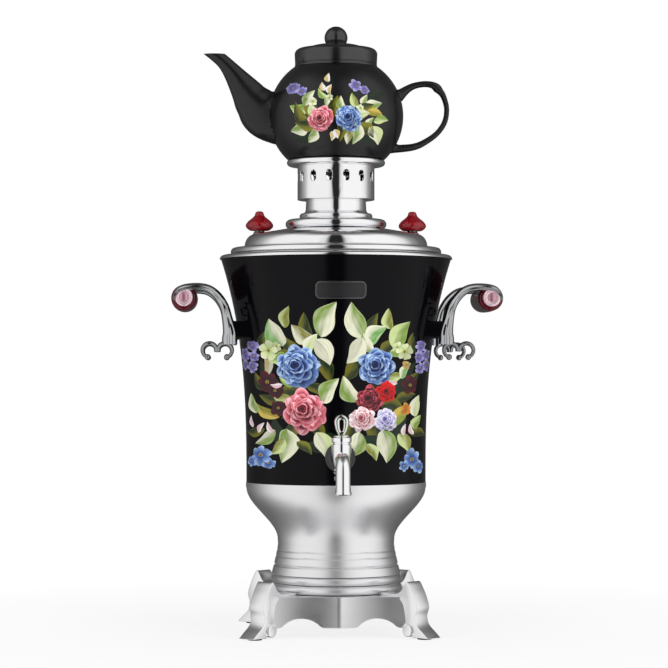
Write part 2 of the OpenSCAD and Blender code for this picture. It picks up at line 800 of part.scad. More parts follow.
module switch_rocker() {
    off = -rocker_swing / 2;
    half = rocker_h / 2;
    front = housing_y + 1.5 - rocker_pivot_y;
    color("firebrick") translate([-rocker_w / 2, rocker_pivot_y, switch_z]) rotate([off, 0, 0])
        rotate([90, 0, 90]) {
            linear_extrude(rocker_w) polygon(concat(
                [[-2.5, -2.5], [front - 1.8, -half]],
                arc([front + 34, 0], 35, 180 + 10, 180 - 10, 6),
                [[front - 1.8, half], [-2.5, 2.5]]));
            translate([0, 0, -2]) cylinder(h = rocker_w + 4, r = 1.5, $fn = small_fn);
        }
}

// Insulated wires from the inlet to the thermostat, the fuse, the heater and the earth tag
wire_r = 1.2;
heater_end_x = heater_ring_r * sin(heater_gap / 2);
heater_end_y = heater_ring_r * cos(heater_gap / 2);

// No wire runs along this direction, so it serves to turn every ring of a wire
wire_side = [0.7, -0.3, 0.2];
wire_fn = 8;
wire_stub = 2;
function unit(v) = v / norm(v);

// A wire through points, which leaves its first and its last point square to the given ways
module wire(points, first_way, last_way) {
    count = len(points) - 1;
    path = smooth(concat(
        [for (k = [0, 1, 3]) points[0] + k * wire_stub * first_way],
        [for (i = [1 : count - 1]) points[i]],
        [for (k = [3, 1, 0]) points[count] + k * wire_stub * last_way]), 3);
    last = len(path) - 1;
    rings = [for (i = [0 : last]) let (
        along = i == 0 ? first_way : i == last ? -last_way : unit(path[i + 1] - path[i - 1]),
        u = unit(cross(along, wire_side)), v = cross(along, u))
        for (k = [0 : wire_fn - 1]) let (t = 360 * k / wire_fn)
            path[i] + wire_r * (cos(t) * u + sin(t) * v)];
    skin = [for (i = [0 : last - 1]) for (k = [0 : wire_fn - 1]) let (m = (k + 1) % wire_fn)
        [i * wire_fn + k, (i + 1) * wire_fn + k, (i + 1) * wire_fn + m, i * wire_fn + m]];
    polyhedron(rings, concat(
        [[for (k = [0 : wire_fn - 1]) k]], skin,
        [[for (k = [wire_fn - 1 : -1 : 0]) last * wire_fn + k]]), convexity = 6);
}

module wiring() {
    pin_tail = stem_y - 6;
    rise_z = tank_z - terminal_len - 8;
    fuse_half = fuse_len / 2;
    inward = [0, -1, 0];
    outward = [0, 1, 0];
    down = [0, 0, -1];
    lug_way = [cos(35), sin(35), 0];
    color("orangered") {
        wire([[-pin_pitch, pin_tail, socket_z - 2], [-16, 22, rise_z],
              [fuse_at[0], fuse_at[1] + fuse_half + 10, tank_z - fuse_r - 2],
              [fuse_at[0], fuse_at[1] + fuse_half, tank_z - fuse_r]], inward, outward);
        wire([[fuse_at[0], fuse_at[1] - fuse_half, tank_z - fuse_r],
              [-44, 4, tank_z - 16], [-heater_end_x - 12, heater_end_y - 14, rise_z - 4],
              [-heater_end_x, heater_end_y, rise_z - 4],
              [-heater_end_x, heater_end_y, tank_z - terminal_len]], inward, down);
        wire([[pin_pitch, pin_tail, socket_z - 2], [14, 20, rise_z],
              [thermostat_at[0], thermostat_at[1], rise_z],
              [thermostat_at[0], thermostat_at[1], tank_z - thermostat_h - strap_t]],
             inward, down);
        wire([concat(thermostat_at, tank_z - 4) + thermostat_r * lug_way,
              [46, 30, tank_z - 6], [heater_end_x + 12, heater_end_y - 8, rise_z - 4],
              [heater_end_x, heater_end_y, rise_z - 4],
              [heater_end_x, heater_end_y, tank_z - terminal_len]], lug_way, down);
        wire([[0, pin_tail, socket_z + 2], [-9, 12, rise_z - 6], [-9, -8, rise_z],
              [0, earth_at[1] + 23, tank_z - 9],
              [0, earth_at[1] + 12, tank_z - 4.5]], inward, outward);
    }
}

// ---- Badge ----

badge_z = lip_z - badge_drop;
badge_stud_r = 1.25;
badge_stud_x = badge_w / 2 - 8;
badge_corner = 5;

module each_badge_stud() {
    for (side = [-1, 1]) translate([side * badge_stud_x, -shell_r(badge_z) + 25, badge_z])
        rotate([90, 0, 0]) children();
}

module badge_slab(inset, corner) {
    translate([0, -shell_r(badge_z) + 30, badge_z])
        rounded_box(badge_w - 2 * inset, badge_h - 2 * inset, corner, 50);
}

module badge_plate() {
    color("gainsboro") difference() {
        intersection() {
            badge_slab(0, badge_corner);
            shell_solid(1.7 * badge_t);
        }
        intersection() {
            badge_slab(badge_border, badge_corner - badge_border / 2);
            difference() {
                shell_solid(5);
                shell_solid(badge_t);
            }
        }
        shell_solid(0);
    }
}

module badge_studs() {
    color("silver") difference() {
        intersection() {
            each_badge_stud() cylinder(h = beyond, r = badge_stud_r, $fn = small_fn);
            shell_solid(0);
        }
        turned(concat([[0, shell_z]], wall_outline(shell_z, lip_z - lip_bend, shell_wall + 2, 20),
                      [[0, lip_z - lip_bend]]));
    }
}

// ---- Side handles ----

arm_y = grip_len / 2 + seat_gap;
arm_foot_z = grip_z - 42.6;
arm_wall_r = shell_r(grip_z - 24);
arm_stations = smooth([
    [grip_x - 42.5, arm_foot_z, 7.5],
    [grip_x - 42.7, arm_foot_z + 10.6, 6.5],
    [grip_x - 40.3, arm_foot_z + 23, 4.8],
    [grip_x - 37.7, arm_foot_z + 33.5, 4.3],
    [grip_x - 32.6, arm_foot_z + 42.4, 4],
    [grip_x - 26.1, arm_foot_z + 48.6, 3.8],
    [grip_x - 18.8, arm_foot_z + 51.8, 3.7],
    [grip_x - 7.8, arm_foot_z + 52.4, 3.7],
    [grip_x + 2.5, arm_foot_z + 50.6, 3.4],
    [grip_x + 7.5, arm_foot_z + 45.5, 2.6]], 3);
curl_r = 6.5;
curl_z = arm_foot_z - 6.5;
curl_out_x = grip_x - 23.7;
curl_in_x = grip_x - 38.3;

// A lug of the arm reaches in to the shell and ends in a pad that follows the wall
module arm_profile() {
    polygon(strap(arm_stations));
    polygon(ring_sector([curl_out_x, curl_z], curl_r, curl_t, 190, -75, 16));
    polygon(ring_sector([curl_in_x, curl_z], curl_r, curl_t, -10, 255, 16));
    translate([curl_out_x + curl_r * cos(-75), curl_z + curl_r * sin(-75)])
        circle(r = 0.62 * curl_t, $fn = small_fn);
    translate([curl_in_x + curl_r * cos(255), curl_z + curl_r * sin(255)])
        circle(r = 0.62 * curl_t, $fn = small_fn);
    translate([grip_x, grip_z]) circle(r = disc_r, $fn = small_fn);
    translate([grip_x - 72, grip_z - 38]) square([31, 30]);
}

pad_z = grip_z - 23;
pad_h2 = 36;
pad_t = 2.5;

module arm(side) {
    difference() {
        union() {
            translate([0, side > 0 ? arm_y + arm_t : -arm_y, 0])
                rotate([90, 0, 0]) linear_extrude(arm_t) arm_profile();
            intersection() {
                translate([arm_wall_r - 40, side > 0 ? arm_y - 4 : -arm_y - arm_t - 4,
                           pad_z - pad_h2 / 2])
                    cube([45, arm_t + 8, pad_h2]);
                shell_solid(pad_t);
            }
        }
        shell_solid(0);
        one_arm_screws(side) cylinder(h = beyond, r = arm_screw_r, $fn = small_fn);
        translate([grip_x, -beyond / 2, grip_z]) rotate([-90, 0, 0])
            cylinder(h = beyond, r = grip_rod_r, $fn = small_fn);
    }
}

arm_screw_turn = atan2(arm_y + arm_t / 2, sqrt(pow(arm_wall_r, 2) - pow(arm_y + arm_t / 2, 2)));
arm_screw_z = [pad_z - 10, pad_z + 10];

// Screws stand square to the wall in plan, from the jacket outwards
module one_arm_screws(side) {
    for (z = arm_screw_z) translate([0, 0, z]) rotate([0, 0, side * arm_screw_turn])
        rotate([0, 90, 0]) translate([0, 0, shell_r(z) - 12]) children();
}
module each_arm_screw() {
    for (face = [0, 1]) mirror([face, 0, 0])
        for (side = [-1, 1]) one_arm_screws(side) children();
}

module arm_pair() {
    color("silver") for (side = [-1, 1]) arm(side);
}

arm_screw_head = 2;
arm_screw_len = 6.5;
module arm_screw_set() {
    color("silver") for (side = [-1, 1]) for (z = arm_screw_z)
        translate([0, 0, z]) rotate([0, 0, side * arm_screw_turn]) rotate([0, 90, 0]) {
            seat = shell_r(z) - shell_wall - 0.8;
            translate([0, 0, seat - arm_screw_head])
                cylinder(h = arm_screw_head, r = 1.75 * arm_screw_r, $fn = small_fn);
            translate([0, 0, seat]) cylinder(h = arm_screw_len, r = arm_screw_r, $fn = small_fn);
        }
}

module grip() {
    half = grip_len / 2;
    edge = 2.5;
    color("darkred") translate([grip_x, 0, grip_z]) rotate([90, 0, 0])
        rotate_extrude($fn = round_fn) polygon(concat(
            [[grip_rod_r, -half]],
            arc([grip_r - 1 - edge, -half + edge], edge, -90, 0, 5),
            arc([grip_r - 300, 0], 300, -7, 7, 8),
            arc([grip_r - 1 - edge, half - edge], edge, 0, 90, 5),
            [[grip_rod_r, half]]));
}

rod_end = arm_y + arm_t + 1;
module grip_rod() {
    color("silver") translate([grip_x, rod_end, grip_z]) rotate([90, 0, 0])
        cylinder(h = 2 * rod_end, r = grip_rod_r, $fn = small_fn);
}

// A domed nut closes each end of a grip's rod
module grip_end_nuts() {
    nut_r = grip_rod_r + 2;
    color("gainsboro") for (face = [0, 1]) mirror([face, 0, 0])
        for (side = [0, 1]) mirror([0, side, 0])
            translate([grip_x, -arm_y - arm_t, grip_z]) rotate([90, 0, 0])
                rotate_extrude($fn = small_fn) polygon(concat(
                    [[grip_rod_r, 0], [nut_r, 0]],
                    arc([0, 0], nut_r, 20, 90, 6),
                    [[0, 1], [grip_rod_r, 1]]));
}

// ---- Tap ----

bore_r = plug_r + plug_clearance;
pipe_in_y = tank_r(tap_z) - tank_wall - 8;

module pipe_hole() {
    translate([0, 0, tap_z]) rotate([90, 0, 0])
        cylinder(h = beyond, r = pipe_r, $fn = small_fn);
}

// The run of the pipe and the nozzle, at one radius
module water_way(r, past) {
    translate([0, -pipe_in_y + past, tap_z]) rotate([90, 0, 0])
        cylinder(h = nozzle_y - elbow_r - pipe_in_y + past, r = r, $fn = small_fn);
    translate([0, -nozzle_y + elbow_r, tap_z - elbow_r]) rotate([0, -90, 0])
        rotate([0, 0, 0]) rotate_extrude(angle = -90, $fn = small_fn)
            translate([elbow_r, 0]) circle(r = r, $fn = small_fn);
    translate([0, -nozzle_y, tap_z - nozzle_drop - past])
        cylinder(h = nozzle_drop - elbow_r + past, r = r, $fn = small_fn);
}

module tap_body() {
    color("silver") difference() {
        union() {
            water_way(pipe_r, 0);
            translate([0, -barrel_y, tap_z]) turned([
                [0, -barrel_drop], [barrel_r - 1, -barrel_drop], [barrel_r, -barrel_drop + 1],
                [barrel_r, barrel_top - 4], [barrel_r + 1, barrel_top - 3],
                [barrel_r + 1, barrel_top - 1], [barrel_r, barrel_top], [0, barrel_top]]);
        }
        water_way(pipe_bore_r, 1);
        translate([0, -barrel_y, tap_z - barrel_drop - 1])
            cylinder(h = barrel_drop + barrel_top + 2, r = bore_r, $fn = round_fn);
    }
}

module along_pipe(from, to, r) {
    translate([0, -from, tap_z]) rotate([90, 0, 0]) difference() {
        cylinder(h = to - from, r = r, $fn = small_fn);
        translate([0, 0, -1]) cylinder(h = to - from + 2, r = pipe_r, $fn = small_fn);
    }
}

gasket_t = 1.5;
module band_solid(inset) {
    turned(concat([[0, shell_z]], wall_outline(shell_z, shell_z + 80, inset, 10),
                  [[0, shell_z + 80]]));
}

module tap_rosette() {
    out_y = shell_r(tap_z) + gasket_t + rosette_t;
    color("silver") difference() {
        translate([0, -shell_r(tap_z) + 8, tap_z]) rotate([90, 0, 0])
            turned([[pipe_r, 0], [rosette_r, 0], [rosette_r, out_y - shell_r(tap_z) + 5.5],
                    [rosette_r - 3, out_y - shell_r(tap_z) + 8],
                    [pipe_r, out_y - shell_r(tap_z) + 8]]);
        band_solid(-gasket_t);
    }
}

// Rubber rings outside the shell, in the jacket and inside the tank
module tap_gaskets() {
    color("dimgray") {
        difference() {
            intersection() {
                along_pipe(pipe_in_y, shell_r(tap_z) + 3, rosette_r - 1);
                band_solid(-gasket_t);
            }
            band_solid(0);
        }
        difference() {
            intersection() {
                along_pipe(pipe_in_y - 4, shell_r(tap_z) + 3, rosette_r - 2);
                band_solid(shell_wall);
            }
            band_solid(shell_wall + jacket_gap);
        }
        intersection() {
            along_pipe(pipe_in_y + 5, shell_r(tap_z), rosette_r - 3);
            band_solid(shell_wall + jacket_gap + tank_wall);
        }
    }
}

module tap_nut() {
    color("goldenrod") translate([0, -pipe_in_y - 5, tap_z]) rotate([-90, 0, 0]) difference() {
        cylinder(h = 4.5, r = rosette_r - 3, $fn = 6);
        translate([0, 0, -1]) cylinder(h = 6.5, r = pipe_r, $fn = small_fn);
    }
}

// The key turns in the barrel; its plug is cross-bored, and shut when the loop faces front
stem_end = barrel_drop + 8;
module tap_key() {
    loop_z = barrel_top + seat_gap;
    color("gainsboro") translate([0, -barrel_y, tap_z]) difference() {
        union() {
            translate([0, 0, -barrel_drop]) cylinder(h = barrel_drop + loop_z + 1, r = plug_r,
                                                     $fn = round_fn);
            translate([0, 0, -stem_end]) cylinder(h = stem_end, r = plug_r - 2.5,
                                                  $fn = small_fn);
            translate([0, 0, loop_z]) cylinder(h = 2, r = plug_r + 1.5, $fn = small_fn);
            translate([0, key_t / 2, loop_z]) rotate([90, 0, 0]) linear_extrude(key_t) difference() {
                union() {
                    translate([-key_w / 2, 0]) square([key_w, key_h - key_w / 2]);
                    translate([0, key_h - key_w / 2]) circle(r = key_w / 2, $fn = small_fn);
                }
                translate([-key_slit / 2, 4]) square([key_slit, key_h - key_w / 2 - 4]);
                translate([0, key_h - key_w / 2]) circle(r = key_slit / 2, $fn = small_fn);
            }
        }
        rotate([0, 90, 0]) cylinder(h = 4 * plug_r, r = pipe_bore_r - 0.5, center = true,
                                    $fn = small_fn);
    }
}

washer_t = 1;
spring_h = 3;
nut_h = 3.5;

module tap_key_washer() {
    color("silver") translate([0, -barrel_y, tap_z - barrel_drop - seat_gap - washer_t])
        ring(plug_r + 2, plug_r - 2.5, washer_t);
}

module tap_key_spring() {
    color("slategray")
        translate([0, -barrel_y, tap_z - barrel_drop - seat_gap - washer_t - spring_h])
            turned([[plug_r - 2.5, 0], [plug_r - 1.3, 0], [plug_r + 1.5, spring_h],
                    [plug_r + 0.3, spring_h]]);
}

module tap_key_nut() {
    color("silver")
        translate([0, -barrel_y, tap_z - barrel_drop - seat_gap - washer_t - spring_h - nut_h])
            difference() {
                cylinder(h = nut_h, r = plug_r + 1, $fn = 6);
                translate([0, 0, -1]) cylinder(h = nut_h + 2, r = plug_r - 2.5, $fn = small_fn);
            }
}

// ---- Lid ----

skirt_r = rim_r - rim_w - slip_gap;
lid_r = skirt_r + lid_lap;
lid_shoulder_r = lid_r - lid_step;
function lid_surface(r) = lid_z + lid_shoulder_h
    + (lid_top_h - lid_shoulder_h) * (lid_shoulder_r - r) / (lid_shoulder_r - bead_r);

module lid_dome() {
    bend = 5;
    color("silver") difference() {
        turned(concat(
            [[skirt_r - lid_wall, lid_z - 6], [skirt_r, lid_z - 6], [skirt_r, lid_z],
             [lid_r, lid_z], [lid_r, lid_z + lid_wall]],
            arc([lid_shoulder_r - bend, lid_z + lid_shoulder_h - bend], bend, 20, 75, 6),
            [[bead_r, bead_z], [neck_bore_r, bead_z], [neck_bore_r, bead_z - lid_wall],
             [bead_r, bead_z - lid_wall]],
            arc([lid_shoulder_r - bend, lid_z + lid_shoulder_h - bend], bend - lid_wall, 75, 20, 6),
            [[skirt_r - lid_wall, lid_z + lid_wall]]));
        each_knob() translate([0, 0, -10]) cylinder(h = 20, r = 2, $fn = small_fn);
    }
}

// Bead, ring and neck are one turned piece
module lid_neck() {
    color("silver") translate([0, 0, bead_z]) turned(concat(
        [[neck_bore_r, 0]],
        arc([bead_r - bead_h / 2, bead_h / 2], bead_h / 2, -90, 90, 10),
        [[neck_ring_r, bead_h]],
        arc([neck_ring_r - neck_ring_h / 2, bead_h + neck_ring_h / 2], neck_ring_h / 2,
            -60, 60, 6),
        [[neck_r + 1.5, bead_h + neck_ring_h], [neck_r, bead_h + neck_ring_h + 3],
         [neck_r, bead_h + neck_ring_h + neck_h],
         [neck_bore_r, bead_h + neck_ring_h + neck_h]]));
}

module each_knob() {
    for (side = [-1, 1]) translate([side * knob_x, 0, lid_surface(knob_x + ferrule_r)]) children();
}

module lid_knob_ferrules() {
    color("gainsboro") difference() {
        each_knob() cylinder(h = ferrule_h + 1, r = ferrule_r, $fn = small_fn);
        turned([[0, 0], [lid_r, 0], [lid_shoulder_r, lid_surface(lid_shoulder_r)],
                [bead_r, bead_z], [0, bead_z]]);
        each_knob() cylinder(h = 20, r = 2, $fn = small_fn);
    }
}

knob_foot = ferrule_h + 1;
module lid_knobs() {
    color("darkred") difference() {
        each_knob() translate([0, 0, knob_foot]) rotate_extrude($fn = small_fn) polygon(
            concat([[0, 0], [0.55 * knob_r, 0]],
                   smooth([[0.66 * knob_r, 0.05 * knob_h], [0.9 * knob_r, 0.2 * knob_h],
                           [knob_r, 0.38 * knob_h], [0.82 * knob_r, 0.6 * knob_h],
                           [0.45 * knob_r, 0.75 * knob_h], [0.31 * knob_r, 0.82 * knob_h],
                           [0.3 * knob_r, 0.92 * knob_h], [0.16 * knob_r, knob_h]], 3),
                   [[0, knob_h]]));
        each_knob() translate([0, 0, knob_foot - 1]) cylinder(h = 9, r = 2, $fn = small_fn);
    }
}

module lid_knob_screws() {
    color("silver") each_knob() {
        translate([0, 0, -3]) cylinder(h = knob_foot + 11, r = 2, $fn = small_fn);
        translate([0, 0, -5]) cylinder(h = 2.4, r = 3.8, $fn = small_fn);
    }
}

// ---- Crown ----

module crown_drum() {
    color("silver") difference() {
        union() {
            translate([0, 0, drum_z]) ring(drum_r, drum_r - drum_wall, drum_h);
            translate([0, 0, drum_z]) ring(drum_r, neck_bore_r - slip_gap - 1.2, 1.5);
            translate([0, 0, drum_z - 5]) ring(neck_bore_r - slip_gap,
                                               neck_bore_r - slip_gap - 1.2, 6);
            translate([0, 0, flange_z - 1.5]) ring(drum_r, drum_r - 6, 1.5);
        }
        for (i = [0 : slot_count - 1]) rotate([0, 0, 360 * (i + 0.5) / slot_count])
            translate([0, 0, drum_z + slot_rise]) rotate([90, 0, 0]) {
                for (end = [-1, 1]) translate([0, end * (slot_h - slot_w) / 2, 0])
                    cylinder(h = 2 * drum_r, r = slot_w / 2, $fn = small_fn);
                translate([-slot_w / 2, -(slot_h - slot_w) / 2, 0])
                    cube([slot_w, slot_h - slot_w, 2 * drum_r]);
            }
    }
}

module crown_flange() {
    edge = flange_h / 2;
    color("silver") translate([0, 0, flange_z]) turned(concat(
        [[drum_r - 6, 0]],
        arc([flange_r - edge, edge], edge, -90, 90, 8),
        [[drum_r - 6, flange_h]]));
}

// ---- Teapot ----

// The belly's side is one arc, turned about the axis
belly_arc_x = belly_r - belly_arc_r;
function belly_at(z, inset) = belly_arc_x
    + sqrt(pow(belly_arc_r - inset, 2) - pow(z - belly_z, 2));
mouth_r = belly_at(pot_mouth_z, 0) - 6;

module belly_solid(inset) {
    rotate([0, 0, 90]) rotate_extrude($fn = round_fn) intersection() {
        translate([belly_arc_x, belly_z]) circle(r = belly_arc_r - inset, $fn = round_fn);
        translate([0, pot_z + inset]) square([belly_r, pot_mouth_h - 2 * inset]);
    }
}

// Stations of the spout: [x, z, half height, half width]
spout_stations = [
    [-belly_r + 24, belly_z - 3, 28, 20],
    [-belly_r - 2, belly_z + 2, 24.5, 17],
    [-belly_r - 14, belly_z + 13, 19, 13.5],
    [-belly_r - 21, belly_z + 23, 15.2, 11],
    [-belly_r - 28.5, belly_z + 33.5, 11.6, 9.2],
    [-belly_r - 36, belly_z + 43.5, 8.6, 7.4],
    [-belly_r - 43, belly_z + 51.5, 6.9, 6.4],
    [-belly_r - 51.5, belly_z + 58.7, 6.4, 6],
    [-belly_r - 61, belly_z + 66, 6.4, 6]];
spout_tip_z = belly_z + 58.8;

handle_stations = [
    [belly_r - 12, belly_z + 13, 8.5, 7.5],
    [belly_r + 1, belly_z + 24, 4.4, 5.5],
    [belly_r + 10, belly_z + 29.3, 3.2, 5],
    [belly_r + 21, belly_z + 31.3, 3.2, 5],
    [belly_r + 31.5, belly_z + 28, 3.4, 5],
    [belly_r + 38.5, belly_z + 19.5, 2.9, 5],
    [belly_r + 41.5, belly_z + 8.5, 2.5, 5],
    [belly_r + 40, belly_z - 4, 2.6, 5],
    [belly_r + 33.5, belly_z - 14.5, 2.7, 5],
    [belly_r + 23.5, belly_z - 22.5, 2.9, 5],
    [belly_r + 10, belly_z - 28.8, 3.4, 5.5],
    [belly_r - 12, belly_z - 31, 4, 6]];

module teapot_body() {
    color([0.07, 0.07, 0.07]) difference() {
        belly_solid(0);
        belly_solid(pot_wall);
        translate([0, 0, pot_mouth_z - 10]) cylinder(h = 20, r = mouth_r, $fn = round_fn);
        translate([0, 0, pot_z - 1]) cylinder(h = 2.2, r = 0.8 * belly_at(pot_z, 0),
                                              $fn = round_fn);
        for (i = [0 : strainer_holes - 1])
            translate([0, i == 0 ? 0 : 7 * cos(60 * i), belly_z + (i == 0 ? 0 : 7 * sin(60 * i))])
                rotate([0, -90, 0]) cylinder(h = belly_r + 3, r = 1.8, $fn = small_fn);
    }
}

// The spout and the handle are shaped apart and luted on to the belly
module teapot_spout() {
    color([0.07, 0.07, 0.07]) difference() {
        hollow_loft(smooth(spout_stations, 2), 20, spout_wall);
        translate([-2 * belly_r - 100, -50, spout_tip_z]) cube([200, 100, 60]);
        belly_solid(0);
    }
}

module teapot_handle() {
    color([0.07, 0.07, 0.07]) difference() {
        loft(smooth(handle_stations, 2), 12);
        belly_solid(0);
    }
}

module teapot_lid() {
    plug_r_out = mouth_r - slip_gap;
    top_z = pot_lid_h + pot_lid_dome;
    color([0.07, 0.07, 0.07]) translate([0, 0, pot_lid_z]) difference() {
        turned(concat(
            [[plug_r_out - 4, -plug_depth], [plug_r_out, -plug_depth], [plug_r_out, 0],
             [pot_lid_r, 0], [pot_lid_r, 1.5], [pot_lid_r - 0.8, 2.5],
             [pot_lid_r, 3.5]],
            arc([pot_lid_r - 4, pot_lid_h - 4], 4, 0, 70, 6),
            [[pot_lid_r - 12, pot_lid_h + 1.2], [ball_r + 4, top_z - 2]],
            arc([0, top_z + ball_r - ball_sink], ball_r, -asin(1 - ball_sink / ball_r), 90, 14),
            [[0, top_z - 4], [ball_r, top_z - 6], [pot_lid_r - 14, pot_lid_h - 3],
             [plug_r_out - 4, pot_lid_h - 7]]));
        translate([pot_lid_r - 16, 0, 0]) cylinder(h = 40, r = 1.5, $fn = small_fn);
    }
}

// ---- Left and right ----

module left() { mirror([1, 0, 0]) children(); }

module handle_arms_left() { left() arm_pair(); }
module handle_arms_right() { arm_pair(); }
module handle_screws_left() { left() arm_screw_set(); }
module handle_screws_right() { arm_screw_set(); }
module grip_left() { left() grip(); }
module grip_right() { grip(); }
module grip_rod_left() { left() grip_rod(); }
module grip_rod_right() { grip_rod(); }

foot_pads();
base_plinth();
bottom_cover();
bottom_cover_screws();
base_ring();
pedestal();
tie_rod();
tie_rod_nuts();
water_tank();
body_shell();
rim_ring();
heating_element();
heater_gaskets();
heater_nuts();
thermostat();
thermal_fuse();
sensor_straps();
strap_screws();
earth_tag();
power_housing();
inlet_pins();
housing_screws();
wiring();
switch_rocker();
badge_plate();
badge_studs();
handle_arms_left();
handle_arms_right();
handle_screws_left();
handle_screws_right();
grip_left();
grip_right();
grip_rod_left();
grip_rod_right();
grip_end_nuts();
tap_body();
tap_rosette();
tap_gaskets();
tap_nut();
tap_key();
tap_key_washer();
tap_key_spring();
tap_key_nut();
lid_dome();
lid_neck();
lid_knobs();
lid_knob_ferrules();
lid_knob_screws();
crown_drum();
crown_flange();
teapot_body();
teapot_spout();
teapot_handle();
teapot_lid();
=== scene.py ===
import math
import random

import bmesh
import bpy
from mathutils import Matrix, Vector


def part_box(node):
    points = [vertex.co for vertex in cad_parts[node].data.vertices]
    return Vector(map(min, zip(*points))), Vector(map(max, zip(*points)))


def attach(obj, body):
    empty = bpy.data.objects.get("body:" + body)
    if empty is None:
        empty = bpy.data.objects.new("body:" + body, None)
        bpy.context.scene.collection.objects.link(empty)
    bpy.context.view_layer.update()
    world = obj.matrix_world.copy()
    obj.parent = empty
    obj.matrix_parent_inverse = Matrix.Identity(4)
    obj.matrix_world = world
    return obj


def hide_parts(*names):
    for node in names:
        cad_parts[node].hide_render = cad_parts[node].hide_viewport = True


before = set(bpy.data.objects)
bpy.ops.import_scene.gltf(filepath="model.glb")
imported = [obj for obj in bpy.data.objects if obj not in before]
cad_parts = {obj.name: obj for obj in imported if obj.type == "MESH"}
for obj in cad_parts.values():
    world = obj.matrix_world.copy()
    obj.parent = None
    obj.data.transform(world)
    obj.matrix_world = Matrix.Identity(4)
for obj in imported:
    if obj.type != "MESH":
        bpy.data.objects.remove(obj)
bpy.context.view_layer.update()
scene = bpy.context.scene
scene.view_settings.view_transform = "Standard"

# ---- Camera ----
# A long lens 2.3 m away, level with the middle of the vessel and a little to the left of its
# tap, so that its upright lines stay upright.
camera = bpy.data.objects.new("camera", bpy.data.cameras.new("camera"))
scene.collection.objects.link(camera)
scene.camera = camera
camera.data.lens = 132.2
camera.location = (-0.1057, -2.3276, 0.2462)
aim = Vector((-0.0019, 0, 0.28135))
camera.rotation_euler = (aim - camera.location).to_track_quat("-Z", "Y").to_euler()


# ---- Studio ----
# A pale room. Bright metal mirrors a tall soft box at each side of the camera, the dark gap
# between the two and the dimmer screens behind them; everything else sees an even pale wall.
def add(tree, kind, inputs=(), **settings):
    """The outputs of a new shader node. Each input is a value, or the socket that feeds it."""
    made = tree.nodes.new("ShaderNode" + kind)
    for name, value in settings.items():
        setattr(made, name, value)
    for name, value in dict(inputs).items():
        if isinstance(value, bpy.types.NodeSocket):
            tree.links.new(value, made.inputs[name])
        else:
            made.inputs[name].default_value = value
    return made.outputs


# The Mix node's sockets for two colours and for their mixture
MIX_A, MIX_B, MIXED = 6, 7, 2

# Degrees round the room from the camera, and how bright the room is there
room_levels = [
    (-180, 0.08), (-150, 0.10), (-128, 0.18), (-108, 0.42), (-90, 0.88), (-72, 0.94), (-24, 0.94),
    (-14, 0.76), (-8, 0.02), (8, 0.02), (14, 0.80), (24, 1.0), (80, 1.0), (96, 0.84), (112, 0.34),
    (132, 0.14), (160, 0.09), (180, 0.08),
]
wall_fill = 0.55
ceiling_level = 0.14

room = bpy.data.worlds.new("room")
scene.world = room
room.use_nodes = True
tree = room.node_tree
tree.nodes.clear()
side = add(tree, "SeparateXYZ", {0: add(tree, "TexCoord")["Generated"]})
front = add(tree, "Math", {0: side["Y"], 1: -1.0}, operation="MULTIPLY")[0]
turn = add(tree, "Math", {0: side["X"], 1: front}, operation="ARCTAN2")[0]
off_camera = math.atan2(-camera.location.x, -camera.location.y)
turn = add(tree, "Math", {0: turn, 1: off_camera}, operation="ADD")[0]
turn = add(tree, "MapRange", {0: turn, 1: -math.pi, 2: math.pi, 3: 0.0, 4: 1.0})[0]
ramp = tree.nodes.new("ShaderNodeValToRGB")
tree.links.new(turn, ramp.inputs[0])
stops = ramp.color_ramp.elements
stops.remove(stops[1])
for degrees, level in room_levels:
    stop = stops.new((degrees / 180 + 1) / 2)
    stop.color = (level, level, level, 1)
stops.remove(stops[0])
overhead = add(tree, "MapRange", {0: side["Z"], 1: 0.80, 2: 0.97, 3: 0.0, 4: 1.0})[0]
mirrored = add(tree, "Mix", {0: overhead, MIX_A: ramp.outputs[0],
                             MIX_B: (ceiling_level,) * 3 + (1,)}, data_type="RGBA")[MIXED]
path = add(tree, "LightPath")
seen = add(tree, "Mix", {0: path["Is Glossy Ray"], MIX_A: (wall_fill,) * 3 + (1,),
                         MIX_B: mirrored}, data_type="RGBA")[MIXED]
plain = add(tree, "Math", {0: path["Is Camera Ray"], 1: path["Is Transmission Ray"]},
            operation="MAXIMUM")[0]
seen = add(tree, "Mix", {0: plain, MIX_A: seen, MIX_B: (1, 1, 1, 1)}, data_type="RGBA")[MIXED]
add(tree, "OutputWorld", {0: add(tree, "Background", {"Color": seen})[0]})

floor_reach = 6.0
bm = bmesh.new()
bmesh.ops.create_circle(bm, cap_ends=True, segments=96, radius=floor_reach)
floor_mesh = bpy.data.meshes.new("floor")
bm.to_mesh(floor_mesh)
bm.free()
floor = bpy.data.objects.new("floor", floor_mesh)
floor.visible_glossy = False
scene.collection.objects.link(floor)
paper = bpy.data.materials.new("floor_paper")
paper.use_nodes = True
tree = paper.node_tree
tree.nodes.clear()
away = add(tree, "VectorMath", {0: add(tree, "TexCoord")["Object"]}, operation="LENGTH")["Value"]
glow = add(tree, "MapRange", {0: away, 1: 0.15, 2: 0.6, 3: 0.82, 4: 1.0})[0]
glow = add(tree, "Math", {0: glow, 1: add(tree, "LightPath")["Is Camera Ray"]},
           operation="MULTIPLY")[0]
matt = add(tree, "BsdfDiffuse", {"Color": (0.9, 0.9, 0.9, 1)})[0]
bright = add(tree, "Emission", {"Color": (1, 1, 1, 1)})[0]
add(tree, "OutputMaterial", {0: add(tree, "MixShader", {0: glow, 1: matt, 2: bright})[0]})
floor_mesh.materials.append(paper)

